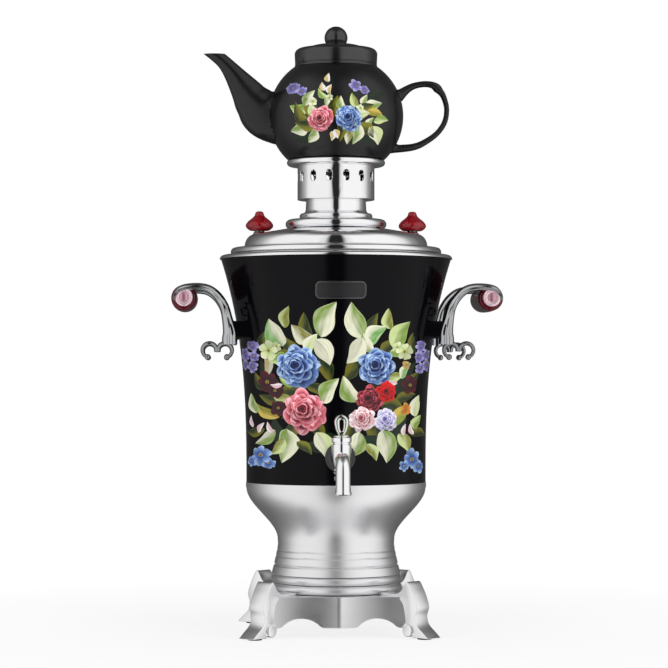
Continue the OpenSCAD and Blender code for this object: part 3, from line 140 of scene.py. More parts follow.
lamp_out = 1.55
for side_x, watts in ((-lamp_out, 17), (lamp_out, 20)):
    lamp_data = bpy.data.lights.new("soft_box", "AREA")
    lamp_data.shape = "RECTANGLE"
    lamp_data.size = 0.9
    lamp_data.size_y = 1.6
    lamp_data.energy = watts
    lamp = bpy.data.objects.new("soft_box", lamp_data)
    scene.collection.objects.link(lamp)
    lamp.location = (side_x, -1.5, 0.9)
    lamp.rotation_euler = (Vector((0, 0, 0.25)) - lamp.location).to_track_quat("-Z", "Y").to_euler()
    lamp.visible_glossy = False


# ---- Rubber feet ----
# A pressed rubber pad is glued under each toe of the plinth, so that the metal doesn't scratch
# the table. Moulded, matt, and a little dusty from use.
def rounded(corners, steps=3):
    """Profile points through (radius, height, fillet) corners, each fillet a short curve."""
    points = []
    for i, (x, z, fillet) in enumerate(corners):
        here = Vector((x, z))
        if not fillet:
            points.append(here)
            continue
        back = Vector(corners[i - 1][:2]) - here
        ahead = Vector(corners[(i + 1) % len(corners)][:2]) - here
        a = here + back.normalized() * min(fillet, back.length / 2)
        b = here + ahead.normalized() * min(fillet, ahead.length / 2)
        for k in range(steps + 1):
            t = k / steps
            points.append(a.lerp(here, t).lerp(here.lerp(b, t), t))
    return points


def turned(points, closed=True, turns=128, middle=(0, 0)):
    """A bmesh turned about an upright axis from a profile of (radius, height) points."""
    bm = bmesh.new()
    outline = [bm.verts.new((middle[0] + r, middle[1], z)) for r, z in points]
    for a, b in zip(outline, outline[1:] + (outline[:1] if closed else [])):
        bm.edges.new((a, b))
    bmesh.ops.spin(bm, geom=bm.verts[:] + bm.edges[:], cent=(*middle, 0), axis=(0, 0, 1),
                   dvec=(0, 0, 0), angle=2 * math.pi, steps=turns, use_merge=True)
    bmesh.ops.remove_doubles(bm, verts=bm.verts, dist=1e-7)
    bmesh.ops.recalc_face_normals(bm, faces=bm.faces)
    return bm


def around(bm, count, sweep=2 * math.pi):
    """Copies all of bm round the Z axis until there are count of it."""
    bmesh.ops.spin(bm, geom=bm.verts[:] + bm.edges[:] + bm.faces[:], cent=(0, 0, 0),
                   axis=(0, 0, 1), dvec=(0, 0, 0), angle=sweep * (count - 1) / count,
                   steps=count - 1, use_duplicate=True)


def finish(name, colour, roughness, metallic=0.0, grain=(300, 300, 300), relief=0.0,
           patchy=0.05, dirt=0.12, **sockets):
    """A surface with a fine grain in its relief, and broad patches in its gloss and its tint.

    colour is a constant, or the name of the attribute that holds it.
    """
    material = bpy.data.materials.new(name)
    material.use_nodes = True
    tree = material.node_tree
    shader = tree.nodes["Principled BSDF"]
    shader.inputs["Metallic"].default_value = metallic
    for socket, value in sockets.items():
        shader.inputs[socket.replace("_", " ")].default_value = value
    at = add(tree, "TexCoord")["Object"]
    broad = add(tree, "TexNoise", {"Vector": at, "Scale": 28.0, "Detail": 5.0})[0]
    gloss = add(tree, "MapRange", {0: broad, 1: 0.3, 2: 0.7, 3: roughness * (1 - patchy),
                                   4: roughness * (1 + patchy)})[0]
    tree.links.new(gloss, shader.inputs["Roughness"])
    share = add(tree, "MapRange", {0: broad, 1: 0.35, 2: 0.75, 3: 0.0, 4: dirt})[0]
    if isinstance(colour, str):
        plain = add(tree, "Attribute", attribute_name=colour)["Color"]
        darker = add(tree, "VectorMath", {0: plain, 3: 0.45}, operation="SCALE")[0]
    else:
        plain = (*colour, 1)
        darker = tuple(0.45 * c for c in colour) + (1,)
    tint = add(tree, "Mix", {0: share, MIX_A: plain, MIX_B: darker}, data_type="RGBA")[MIXED]
    tree.links.new(tint, shader.inputs["Base Color"])
    lined = add(tree, "Mapping", {"Vector": at, "Scale": grain})[0]
    fine = add(tree, "TexNoise", {"Vector": lined, "Scale": 1.0, "Detail": 4.0})[0]
    bump = add(tree, "Bump", {"Height": fine, "Strength": 1.0, "Distance": relief})[0]
    tree.links.new(bump, shader.inputs["Normal"])
    return material


def dress(name, bm, material, body="root", nodes=(), crease=32):
    """bm as a finished piece of one material, which rides on a body and stands for CAD nodes."""
    for face in bm.faces:
        face.smooth = True
    for edge in bm.edges:
        edge.smooth = len(edge.link_faces) == 2 and edge.calc_face_angle() < math.radians(crease)
    mesh = bpy.data.meshes.new(name)
    bm.to_mesh(mesh)
    bm.free()
    mesh.materials.append(material)
    made = bpy.data.objects.new(name, mesh)
    scene.collection.objects.link(made)
    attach(made, body)
    if nodes:
        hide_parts(*nodes)
    return made


rubber = finish("moulded_rubber", (0.03, 0.03, 0.03), 0.75, grain=(900, 900, 900), relief=4e-5,
                patchy=0.15, dirt=0.3)
pad_r = 0.0065
pad_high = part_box("foot_pads")[1]
pad_out = (pad_high.x - pad_r) * math.sqrt(2)
pad_t = pad_high.z
bm = turned(rounded([(0, 0, 0), (pad_r, 0, 0.0004), (pad_r, pad_t, 0), (0, pad_t, 0)]),
            closed=False, turns=32)
bmesh.ops.translate(bm, verts=bm.verts, vec=(pad_out, 0, 0))
bmesh.ops.rotate(bm, verts=bm.verts, matrix=Matrix.Rotation(math.pi / 4, 3, "Z"))
around(bm, 4)
dress("rubber_feet", bm, rubber, nodes=["foot_pads"])

# ---- Plinth ----
# One casting, satin finished: a square plate with a double-arched apron all round, each half
# panel of it hollowed, and four legs that rise to a knee over each corner and end in a scrolled toe.
satin = finish("satin_steel", (0.86, 0.86, 0.87), 0.34, metallic=1.0, grain=(10, 10, 1500),
               relief=2.5e-6, patchy=0.10, dirt=0.05)
cast_steel = finish("cast_satin_steel", (0.92, 0.92, 0.93), 0.30, metallic=1.0,
                    grain=(300, 300, 300), relief=2e-6, patchy=0.12, dirt=0.06)
ring_low, ring_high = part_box("base_ring")
plate_z = ring_low.z
apron_half = 0.070
apron_drop = 0.0285
apron_wall = 0.0025
apron_hollow = 0.0024
arch_half = 0.0185
arch_rise = 0.0086
arch_r = (arch_half ** 2 + arch_rise ** 2) / (2 * arch_rise)
plate_hole_r = 0.044
panel_half = apron_half / 2


def thicken(made, thickness):
    """Gives an open sheet its wall, inward from the side that shows."""
    wall = made.modifiers.new("wall", "SOLIDIFY")
    wall.thickness = thickness
    wall.offset = -1


def ease_edges(made, width, segments, degrees):
    """Rounds the edges that are sharper than so many degrees."""
    edge = made.modifiers.new("edge", "BEVEL")
    edge.width = width
    edge.segments = segments
    edge.limit_method = "ANGLE"
    edge.angle_limit = math.radians(degrees)


def arch_at(x):
    """How far the apron's lower edge is cut away at x."""
    from_arch = abs(abs(x) - panel_half)
    if from_arch >= arch_half:
        return 0.0
    return arch_rise - arch_r + math.sqrt(arch_r ** 2 - from_arch ** 2)


# The four sides of the apron, and the plate between them with its round hole
bm = bmesh.new()
bmesh.ops.create_grid(bm, x_segments=56, y_segments=8, size=1)
for v in bm.verts:
    x = apron_half * v.co.x
    drop = (apron_drop - arch_at(x)) * (1 - v.co.y) / 2
    sunk = apron_hollow * (1 - ((abs(x) - panel_half) / panel_half) ** 2)
    v.co = (x, sunk - apron_half, plate_z - drop)
around(bm, 4)
bmesh.ops.remove_doubles(bm, verts=bm.verts, dist=1e-6)
top_edge = [e for e in bm.edges if len(e.link_faces) == 1
            and all(v.co.z > plate_z - 1e-6 for v in e.verts)]
hole = bmesh.ops.create_circle(bm, segments=len(top_edge), radius=plate_hole_r,
                               matrix=Matrix.Translation((0, 0, plate_z)))["verts"]
hole_edge = list({e for v in hole for e in v.link_edges})
bmesh.ops.bridge_loops(bm, edges=top_edge + hole_edge)
bmesh.ops.recalc_face_normals(bm, faces=bm.faces)
if max(bm.faces, key=lambda f: f.calc_center_median().z).normal.z < 0:
    bmesh.ops.reverse_faces(bm, faces=bm.faces)
apron = dress("plinth_plate", bm, cast_steel)
thicken(apron, apron_wall)
ease_edges(apron, 0.0006, 3, 40)


def curve_through(points, steps):
    """A smooth line through given points."""
    points = [Vector(p) for p in points]
    last = len(points) - 1
    line = []
    for i in range(last):
        a, b, c, d = (points[max(i - 1, 0)], points[i], points[i + 1], points[min(i + 2, last)])
        for k in range(steps):
            t = k / steps
            line.append((2 * b + (c - a) * t + (2 * a - 5 * b + 4 * c - d) * t ** 2
                         + (3 * b - a - 3 * c + d) * t ** 3) / 2)
    return line + [points[last]]


def slab(outline, thickness, edge_w):
    """A flat piece in the XZ plane, centred on y = 0, with rounded edges."""
    bm = bmesh.new()
    face = bm.faces.new([bm.verts.new((x, -thickness / 2, z)) for x, z in outline])
    pushed = bmesh.ops.extrude_face_region(bm, geom=[face])["geom"]
    bmesh.ops.translate(bm, verts=[g for g in pushed if isinstance(g, bmesh.types.BMVert)],
                        vec=(0, thickness, 0))
    bmesh.ops.recalc_face_normals(bm, faces=bm.faces)
    rims = [e for e in bm.edges if abs(e.calc_face_angle()) > math.radians(60)]
    bmesh.ops.bevel(bm, geom=rims, offset=edge_w, offset_type="OFFSET", segments=3,
                    profile=0.5, affect="EDGES", clamp_overlap=True, material=-1)
    return bm


def gather(bm, other):
    """Puts all of other into bm."""
    carrier = bpy.data.meshes.new("carrier")
    other.to_mesh(carrier)
    other.free()
    bm.from_mesh(carrier)
    bpy.data.meshes.remove(carrier)


# One leg, from the base ring over its knee to the toe, with its scroll, and then all four
ring_r = ring_high.x
leg_w = 0.018
leg_out = apron_half * math.sqrt(2)
toe_reach = 0.122
toe_l = 0.018
rib_in = ring_r + 0.0015
leg_foot_z = pad_t
rib_z = plate_z + 0.0025
knee_z = plate_z + 0.014
leg_line = curve_through([
    (rib_in, rib_z), (leg_out - 0.017, rib_z), (leg_out - 0.010, plate_z + 0.0056),
    (leg_out - 0.0055, knee_z - 0.0015), (leg_out - 0.002, knee_z),
    (leg_out + 0.002, plate_z + 0.0084), (leg_out + 0.006, plate_z + 0.001),
    (leg_out + 0.0093, plate_z - 0.009), (leg_out + 0.007, plate_z - 0.017),
    (leg_out + 0.0093, plate_z - 0.025), (toe_reach - 0.006, leg_foot_z + 0.005),
    (toe_reach, leg_foot_z)], 4)
leg_line += curve_through([
    (toe_reach - toe_l, leg_foot_z), (leg_out - 0.003, leg_foot_z + 0.009),
    (leg_out - 0.0045, plate_z - 0.020), (leg_out - 0.007, plate_z - 0.008),
    (leg_out - 0.011, plate_z - apron_wall)], 4)
leg_line.append(Vector((rib_in, plate_z - apron_wall)))
bm = slab(leg_line, leg_w, 0.0018)
toe_scroll_r = 0.006
scroll_w = leg_w + 0.004
scroll = turned(rounded([(0, -scroll_w / 2, 0), (toe_scroll_r, -scroll_w / 2, 0.0015),
                         (toe_scroll_r, scroll_w / 2, 0.0015), (0, scroll_w / 2, 0)]),
                closed=False, turns=32)
bmesh.ops.rotate(scroll, verts=scroll.verts, matrix=Matrix.Rotation(math.pi / 2, 3, "X"))
bmesh.ops.translate(scroll, verts=scroll.verts,
                    vec=(leg_out - 0.001, 0, leg_foot_z + toe_scroll_r + 0.0005))
gather(bm, scroll)
bmesh.ops.rotate(bm, verts=bm.verts, matrix=Matrix.Rotation(math.pi / 4, 3, "Z"))
around(bm, 4)
dress("plinth_legs", bm, cast_steel, nodes=["base_plinth"])

# ---- Base ring ----
# A turned steel ring of two beads that the pedestal stands on, satin finished on the lathe. The
# tie rod clamps it between the plinth and the pedestal.
bead_r = (ring_high.z - ring_low.z) / 4
ring_in_r = ring_r - 0.005


def bead(x, z, r, start=-90, stop=90, steps=10):
    """The points of a half-round bead about (x, z)."""
    turns = [math.radians(start + (stop - start) * k / steps) for k in range(steps + 1)]
    return [(x + r * math.cos(t), z + r * math.sin(t)) for t in turns]


bm = turned([(ring_in_r - bead_r, ring_low.z)]
            + bead(ring_r - bead_r, ring_low.z + bead_r, bead_r)
            + bead(ring_r - 0.001 - bead_r, ring_low.z + 3 * bead_r, bead_r)
            + [(ring_in_r - bead_r, ring_high.z)], turns=160)
dress("ring_with_two_beads", bm, satin, nodes=["base_ring"])

# ---- Pedestal ----
# Spun from one sheet: a rolled foot, a waist with two turned grooves and a bowl that carries the
# vessel. Satin finished on the lathe, so its fine lines run round it.
ped_low, ped_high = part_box("pedestal")
ped_h = ped_high.z - ped_low.z
foot_r = 0.061
waist_r = 0.055
waist_rise = 0.028
bowl_r = ped_high.x
bowl_start = 0.10
bowl_stop = 0.96
cone_share = 0.12
ped_sheet = 0.0015
ped_flange = 0.008
groove_rise = (0.0165, 0.0220)
groove_half = 0.0009
groove_depth = 0.0006
crease_rise = 0.0085
crease_half = 0.0014
crease_depth = 0.0012


def pedestal_r(rise):
    """The pedestal's radius at a height above its foot."""
    if rise < waist_rise:
        return waist_r + (foot_r - waist_r) * ((waist_rise - rise) / waist_rise) ** 1.2
    u = (rise - waist_rise) / (ped_h - waist_rise)
    v = max(0.0, min(1.0, (u - bowl_start) / (bowl_stop - bowl_start)))
    return waist_r + (bowl_r - waist_r) * (cone_share * u + (1 - cone_share) * v * v * (3 - 2 * v))


def grooved(rise):
    """How deep the turned grooves and the crease above the rolled foot are at a height."""
    near = min(abs(rise - g) for g in groove_rise)
    cut = groove_depth * max(0.0, 1 - near / groove_half)
    return cut + crease_depth * max(0.0, 1 - abs(rise - crease_rise) / crease_half)


ped_steps = 164
inner_steps = 24
outside = [(pedestal_r(rise) - grooved(rise), ped_low.z + rise)
           for rise in (ped_h * i / ped_steps for i in range(ped_steps + 1))]
inside = [(pedestal_r(rise) - 2 * ped_sheet, ped_low.z + rise)
          for rise in (ped_h * i / inner_steps for i in range(inner_steps - 1, 0, -1))]
bm = turned([(foot_r - ped_flange, ped_low.z)] + outside
            + [(bowl_r - ped_flange, ped_high.z), (bowl_r - ped_flange, ped_high.z - ped_sheet)]
            + inside + [(foot_r - ped_flange, ped_low.z + ped_sheet)], turns=176)
dress("spun_pedestal", bm, satin, nodes=["pedestal"])

# ---- Hidden parts ----
# What no one sees in use: the cover under the base, the tie rod that clamps the tank to it, the
# heater, its controls, wires and earth tag, and the screws, studs, rods and rings that hold the
# outer pieces.
screw_steel = finish("screw_steel", (0.60, 0.60, 0.62), 0.32, metallic=1.0,
                     grain=(900, 900, 900), relief=5e-6, patchy=0.2)
tank_steel = finish("tank_steel", (0.66, 0.66, 0.67), 0.36, metallic=1.0, grain=(30, 30, 1800),
                    relief=8e-6, patchy=0.2, dirt=0.2)
brass = finish("brass", (0.72, 0.50, 0.20), 0.28, metallic=1.0, grain=(800, 800, 800),
               relief=4e-6, patchy=0.25, dirt=0.3)
silicone = finish("red_silicone", (0.42, 0.06, 0.03), 0.6, grain=(700, 700, 700), relief=1e-5)
phenolic = finish("cream_phenolic", (0.72, 0.66, 0.52), 0.45, grain=(600, 600, 600),
                  relief=8e-6, dirt=0.25)
insulation = finish("orange_insulation", (0.55, 0.12, 0.03), 0.5, grain=(500, 500, 500),
                    relief=6e-6)
hidden_parts = (
    (satin, ("bottom_cover",)),
    (tank_steel, ("water_tank", "heating_element")),
    (brass, ("heater_nuts", "earth_tag", "inlet_pins", "tap_nut")),
    (silicone, ("heater_gaskets",)),
    (rubber, ("tap_gaskets",)),
    (phenolic, ("thermostat", "thermal_fuse")),
    (insulation, ("wiring",)),
    (screw_steel, (
        "bottom_cover_screws", "tie_rod", "tie_rod_nuts", "sensor_straps", "strap_screws",
        "housing_screws", "badge_studs", "handle_screws_left", "handle_screws_right",
        "grip_rod_left", "grip_rod_right", "tap_key_washer", "tap_key_spring", "tap_key_nut",
        "lid_knob_screws")),
)
for material, names in hidden_parts:
    for name in names:
        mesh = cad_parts[name].data
        mesh.materials.clear()
        mesh.materials.append(material)

# ---- Shell ----
# The flared jacket of the vessel: thin sheet, rolled over at the lip and turned in under the rim
# ring, enamelled gloss black outside before the flowers are painted on.
enamel = finish("black_enamel", (0.002, 0.002, 0.003), 0.09, grain=(260, 260, 260), relief=1.5e-6,
                patchy=0.25, dirt=0.0, Specular_IOR_Level=0.11)
shell_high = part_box("body_shell")[1]
shell_foot_z = ped_high.z
shell_foot_r = bowl_r
lip_r = 0.110
lip_z = shell_high.z - 0.001
shell_h = lip_z - shell_foot_z
flare = 2.85
sheet = 0.0012
lip_bend = 0.003
lip_in_r = lip_r - 0.011


def shell_r(z):
    """The outer radius of the vessel's wall at a height."""
    rise = max(0.0, z - shell_foot_z) / shell_h
    return shell_foot_r + (lip_r - shell_foot_r) * rise ** flare


def wall_line(start, stop, inset, steps):
    """The vessel's wall between two heights, as (radius, height) points."""
    heights = [start + (stop - start) * k / steps for k in range(steps + 1)]
    return [(shell_r(z) - inset, z) for z in heights]


roll_z = lip_z - lip_bend
roll_r = lip_bend + 0.0004
roll_middle = (lip_r - lip_bend - 0.0003, roll_z + 0.0006)
roll = bead(*roll_middle, roll_r, 0, 90, 10)
inner_roll = bead(*roll_middle, roll_r - sheet, 90, 0, 6)
lip_top_z = lip_z + 0.001
bm = turned([(shell_foot_r - ped_flange, shell_foot_z)]
            + wall_line(shell_foot_z, roll_z, 0, 60) + roll
            + [(lip_in_r, lip_top_z), (lip_in_r, lip_top_z - sheet)] + inner_roll
            + wall_line(roll_z, shell_foot_z + sheet, sheet, 30)
            + [(shell_foot_r - ped_flange, shell_foot_z + sheet)], turns=192)
dress("enamelled_shell", bm, enamel, nodes=["body_shell"])

# ---- Foot band ----
# The pedestal's upper edge, of the same satin sheet. It laps a few millimetres over the foot of
# the shell and is pressed against it, so that no dirt gets in between.
lap_h = 0.0042
lap_t = 0.0004
lap_in = 0.2 * lap_t
lap_rises = [lap_h * k / 6 for k in range(-1, 6)]
lap_line = [(shell_r(shell_foot_z + rise) + lap_t, shell_foot_z + rise) for rise in lap_rises]
lap_line += [(shell_r(shell_foot_z + lap_h) + out, shell_foot_z + lap_h)
             for out in (0.6 * lap_t, -lap_in)]
lap_line.append((shell_r(shell_foot_z) - lap_in, shell_foot_z + lap_rises[0]))
dress("foot_band", turned(lap_line, turns=176), satin)

# ---- Lip band ----
# A thin band of chromium-plated sheet, pressed over the rolled lip and down to where the black
# wall begins. It keeps the enamel of the lip from chipping.
chrome = finish("polished_chrome", (0.92, 0.92, 0.93), 0.045, metallic=1.0,
                grain=(160, 160, 160), relief=4e-7, patchy=0.35, dirt=0.03)
band_foot_z = lip_z - 0.0022
band_t = 0.0003
band_in_r = lip_in_r + 0.001
band_inset = 0.0001
band_out = [(shell_r(band_foot_z) + band_t, band_foot_z)]
for step, (r, z) in enumerate(roll):
    lean = math.radians(9 * step)
    band_out.append((r + band_t * math.cos(lean), z + band_t * math.sin(lean)))
bm = turned([(band_in_r, lip_top_z), (band_in_r, lip_top_z + band_t)] + band_out[::-1]
            + [(shell_r(band_foot_z) - band_inset, band_foot_z)]
            + [(r - band_inset, z - band_inset) for r, z in roll], turns=192)
dress("lip_band", bm, chrome)

# ---- Painted flowers ----
# A folk bouquet on the front of the shell and again on its back: roses, leaves, buds and small
# flowers, brushed on in overlapping strokes of opaque enamel that stand a little proud.
floral = finish("floral_enamel", "paint", 0.28, grain=(1500, 1500, 1500), relief=1.2e-5,
                patchy=0.2, dirt=0.18, Specular_IOR_Level=0.35)
# How far the first coat stands off the wall, how far each coat stands off the one before, and
# how thick a stroke is
paint_out = 0.00012
coat_step = 0.000012
film = 0.0002
hand = random.Random(7)


def ink(*levels):
    """A paint colour from its 0 to 255 screen levels."""
    return Vector([(c / 255) ** 2.2 for c in levels])


class Painting:
    """Strokes of paint on a turned surface, each in its own flat millimetres."""

    def __init__(self, radius_at, turn, coat):
        self.radius_at = radius_at
        self.turn = turn
        self.base_coat = coat
        self.coat = coat
        self.leaves = 0
        self.bm = bmesh.new()
        self.paint = self.bm.verts.layers.float_color.new("paint")

    def stroke(self, x, z, cells, place, colour):
        """One stroke: a grid that place puts in flat millimetres about (x, z)."""
        radius = self.radius_at(z / 1000)
        turn = math.asin(max(-0.97, min(0.97, x / 1000 / radius)))
        spread = 1 / max(0.5, math.cos(turn))
        out = paint_out + coat_step * self.coat
        grid = bmesh.ops.create_grid(self.bm, x_segments=cells[0], y_segments=cells[1], size=1)
        for v in grid["verts"]:
            t, s = (v.co.x + 1) / 2, v.co.y
            v[self.paint] = (*colour(t, s), 1)
            flat_x, flat_z = place(t, s)
            up = (z + flat_z) / 1000
            angle = self.turn + turn + flat_x * spread / 1000 / radius
            reach = self.radius_at(up) + out
            v.co = (reach * math.sin(angle), -reach * math.cos(angle), up)

    def leaf(self, x, z, length, breadth, lean, middle, rim, bow=0.12):
        """A pointed leaf with its middle at (x, z) and its tip towards lean degrees."""
        self.coat = self.base_coat + self.leaves % 10
        self.leaves += 1
        way = Vector((math.cos(math.radians(lean)), math.sin(math.radians(lean))))
        left = Vector((-way.y, way.x))
        wave = hand.uniform(0, 6)
        pale_side = hand.choice((-1, 1))

        def place(t, s):
            half = breadth / 2 * math.sin(math.pi * t ** 0.8) ** 0.75 * (1 - 0.35 * t ** 3)
            half *= 1 + 0.09 * math.sin(8 * t + wave + 2 * s)
            bend = bow * length * (math.sin(math.pi * t) - 0.5)
            spot = way * (length * (t - 0.5)) + left * (bend + half * s)
            return spot.x, spot.y

        def colour(t, s):
            pale = 0.5 + 0.5 * math.sin(pale_side * 2.2 * s + 0.5 * math.sin(5 * t + wave))
            dabs = 0.22 * math.sin(9 * s + 7 * t + wave) * math.sin(4 * s - 9 * t)
            vein = max(0.0, 1 - 5 * abs(s + 0.08 * math.sin(4 * t))) * (1 - t)
            mixed = middle.lerp(rim, min(1.0, max(0.0, pale + dabs + 0.25 * abs(s) ** 4)))
            return mixed * (1 + 0.10 * math.sin(15 * s + wave)) * (1 - 0.55 * vein)

        self.stroke(x, z, (14, 10), place, colour)

    def petal(self, x, z, inner, outer, facing, sweep, deep, body, rim, lit=1.0, dark=0.30):
        """A petal from inner to outer radius about (x, z), dark in the heart and pale at its rim."""
        start = math.radians(facing - sweep / 2)
        wave, ruffle = hand.uniform(0, 6), hand.uniform(0.03, 0.09)

        def place(t, s):
            angle = start + math.radians(sweep) * (s + 1) / 2
            reach = outer * (1 - 0.26 * abs(s) ** 3) * (1 + ruffle * math.sin(4 * s + wave))
            r = inner + (reach - inner) * t
            return r * math.cos(angle), r * math.sin(angle)

        def colour(t, s):
            out = max(0.0, (t - 1 + dark) / dark) if dark < 1 else t
            mixed = deep.lerp(body, min(1.0, 2.4 * out))
            shine = max(0.0, (out - 0.45) / 0.55) * (0.62 + 0.38 * math.sin(2.6 * s + wave))
            mixed = mixed.lerp(rim, min(1.0, shine))
            shade = 1 - 0.42 * max(0.0, (abs(s) - 0.72) / 0.28)
            return mixed * shade * (1 + 0.13 * math.sin(13 * s + wave)) * lit

        self.stroke(x, z, (12, 12), place, colour)

    def rose(self, x, z, radius, deep, body, rim, over=0):
        """A full rose: rings of petals that close in on a dark heart, with dabs of light on top."""
        first_coat = self.base_coat + 3 * over
        for ring, (count, share) in enumerate(((7, 1.0), (6, 0.79), (5, 0.60), (4, 0.43), (3, 0.27))):
            first = hand.uniform(0, 360)
            drift = 0.03 * radius * ring
            for k in range(count):
                self.coat = first_coat + 4 * ring + (2 if k == count - 1 else k % 2)
                facing = first + 360 * k / count + hand.uniform(-9, 9)
                reach = radius * share * hand.uniform(0.90, 1.06)
                lit = 1 + 0.22 * math.sin(math.radians(facing)) + hand.uniform(-0.2, 0.2)
                self.petal(x - drift, z + drift, 0.0, reach, facing, 1.3 * 360 / count,
                           deep, body, rim, lit)
                if hand.random() < 0.65:
                    self.coat = first_coat + 4 * ring + 3
                    self.petal(x - drift, z + drift, 0.80 * reach, 0.97 * reach,
                               facing + hand.uniform(-16, 16), 0.5 * 360 / count, body, rim,
                               rim * 1.15, lit, dark=1)
        self.coat = first_coat + 21
        self.petal(x - 0.12 * radius, z + 0.12 * radius, 0.0, 0.12 * radius, 90, 359, deep * 0.5,
                   deep, body)

    def blossom(self, x, z, radius, deep, body, rim, petals=5):
        """A small open flower."""
        first = hand.uniform(0, 360)
        for k in range(petals):
            self.coat = self.base_coat + (2 if k == petals - 1 else k % 2)
            self.petal(x, z, 0.0, radius * hand.uniform(0.8, 1.15), first + 360 * k / petals,
                       1.05 * 360 / petals, deep, body, rim, hand.uniform(0.75, 1.2), dark=1)
        self.coat = self.base_coat + 3
        self.petal(x, z, 0.0, 0.2 * radius, 90, 359, ink(120, 90, 20), ink(200, 170, 60), rim)

    def done(self, name, body):
        """Turns the strokes into one piece, each with the thickness of its paint."""
        thicken(dress(name, self.bm, floral, body), film)


def paint_both_sides(what, radius_at, layers, body="root"):
    """Paints layers of (name, brush, first coat) on the front of a piece and on its back."""
    for label, turn in (("front", 0.0), ("back", math.pi)):
        for part, brush, coat in layers:
            painting = Painting(radius_at, turn, coat)
            brush(painting)
            painting.done(f"{what}_{part}_{label}", body)


cream, pale_green = ink(232, 232, 204), ink(204, 220, 152)
green, olive = ink(116, 148, 54), ink(124, 122, 36)
dark_green, bright_green = ink(14, 30, 16), ink(104, 166, 78)
navy, royal, ice = ink(12, 22, 74), ink(64, 98, 168), ink(176, 204, 238)
violet, mauve, lilac = ink(50, 42, 112), ink(104, 96, 168), ink(192, 188, 230)
crimson, rose_pink, shell_pink = ink(92, 10, 26), ink(200, 84, 98), ink(248, 182, 192)
wine, scarlet = ink(52, 8, 26), ink(190, 24, 24)
blush, white = ink(226, 178, 182), ink(244, 238, 240)
tan, yellow, orange = ink(188, 156, 104), ink(206, 182, 84), ink(206, 112, 30)


def backing(p):
    """The dark leaves behind everything, as (x, z, length, breadth, lean)."""
    for x, z, length, breadth, lean in (
        (-44, 222, 46, 18, 250), (40, 222, 44, 18, 290), (-20, 264, 42, 16, 80),
        (22, 264, 42, 16, 100), (-64, 240, 38, 14, 120), (62, 240, 38, 14, 60),
        (-20, 180, 34, 15, 200), (32, 178, 36, 14, 340), (-56, 190, 30, 14, 110),
        (56, 190, 30, 14, 70),
    ):
        p.leaf(x, z, length, breadth, lean, dark_green, dark_green * 2.2)
    for x, z, length, breadth, lean in (
        (-32, 288, 24, 12, 100), (-46, 270, 22, 12, 130), (-54, 262, 22, 11, 170), (30, 288, 24, 12, 80),
        (46, 268, 24, 13, 50), (-13, 246, 24, 14, 300), (9, 246, 22, 13, 240), (-48, 229, 22, 12, 190),
        (-20, 228, 22, 10, 330), (50, 214, 24, 12, 350), (-46, 190, 24, 12, 240), (-20, 190, 24, 12, 300),
        (9, 192, 20, 10, 250), (30, 188, 26, 13, 290), (54, 190, 22, 11, 300), (-64, 221, 22, 10, 170),
        (62, 222, 22, 10, 20), (-73, 236, 20, 9, 120), (70, 238, 20, 9, 60), (-78, 190, 20, 9, 190),
        (76, 188, 20, 9, 350), (-70, 274, 20, 9, 80), (68, 272, 20, 9, 100),
    ):
        p.leaf(x, z, length, breadth, lean, dark_green * 2.2, olive * 0.7)


leaf_growth = (1.14, 1.12)


def bouquet_leaves(p):
    """The lit leaves, as (x, z, length, breadth, lean, middle, rim)."""
    for leaf in (
        (-50, 296, 18, 9, 75, olive, pale_green * 0.8), (44, 294, 17, 10, 100, olive, pale_green),
        (-13.0, 294, 31, 19, 66, green, cream), (14.0, 292, 31, 18, 112, green, cream),
        (-60, 281, 24, 17, 112, bright_green, cream * 0.9), (56, 280, 25, 16, 62, green, pale_green),
        (-36, 280, 21, 13, 140, olive, cream * 0.9), (32, 280, 22, 14, 40, bright_green, cream),
        (-15.0, 264, 24, 16, 300, cream * 0.75, cream), (14.0, 264, 24, 15, 240, cream * 0.75, cream),
        (-10.0, 229, 24, 14, 58, green, cream), (7.5, 229, 24, 14, 118, green, cream),
        (-49, 236, 14, 5, 150, green, pale_green), (-66, 250, 18, 7, 265, tan, cream * 0.7),
        (61, 247, 15, 7, 60, bright_green, cream),
        (-68, 209, 22, 9, 148, olive, yellow), (-79, 216, 17, 9, 105, green, cream),
        (57, 206, 20, 12, 50, green, yellow), (72, 214, 18, 10, 80, pale_green, cream),
        (73, 199, 13, 8, 60, green, pale_green),
        (-49, 177, 28, 18, 262, green, cream), (43, 177, 27, 18, 278, green, cream * 0.9),
        (-15, 178, 24, 15, 292, pale_green, cream), (15, 178, 22, 14, 250, green, cream),
        (61, 180, 18, 11, 300, olive, pale_green), (-68, 184, 20, 9, 215, green, cream * 0.8),
        (-32, 176, 16, 8, 320, dark_green * 3, olive),
        (-27, 272, 18, 10, 60, pale_green, cream), (24, 272, 18, 10, 120, green, cream),
        (-58, 258, 16, 9, 200, green, pale_green), (55, 262, 16, 9, 340, green, pale_green),
        (-54, 222, 16, 8, 170, olive, pale_green * 0.8), (52, 240, 15, 8, 20, olive, pale_green),
        (-56, 176, 17, 9, 230, olive, pale_green), (30, 172, 16, 9, 300, olive, pale_green),
    ):
        p.leaf(*leaf[:2], leaf_growth[0] * leaf[2], leaf_growth[1] * leaf[3], *leaf[4:])


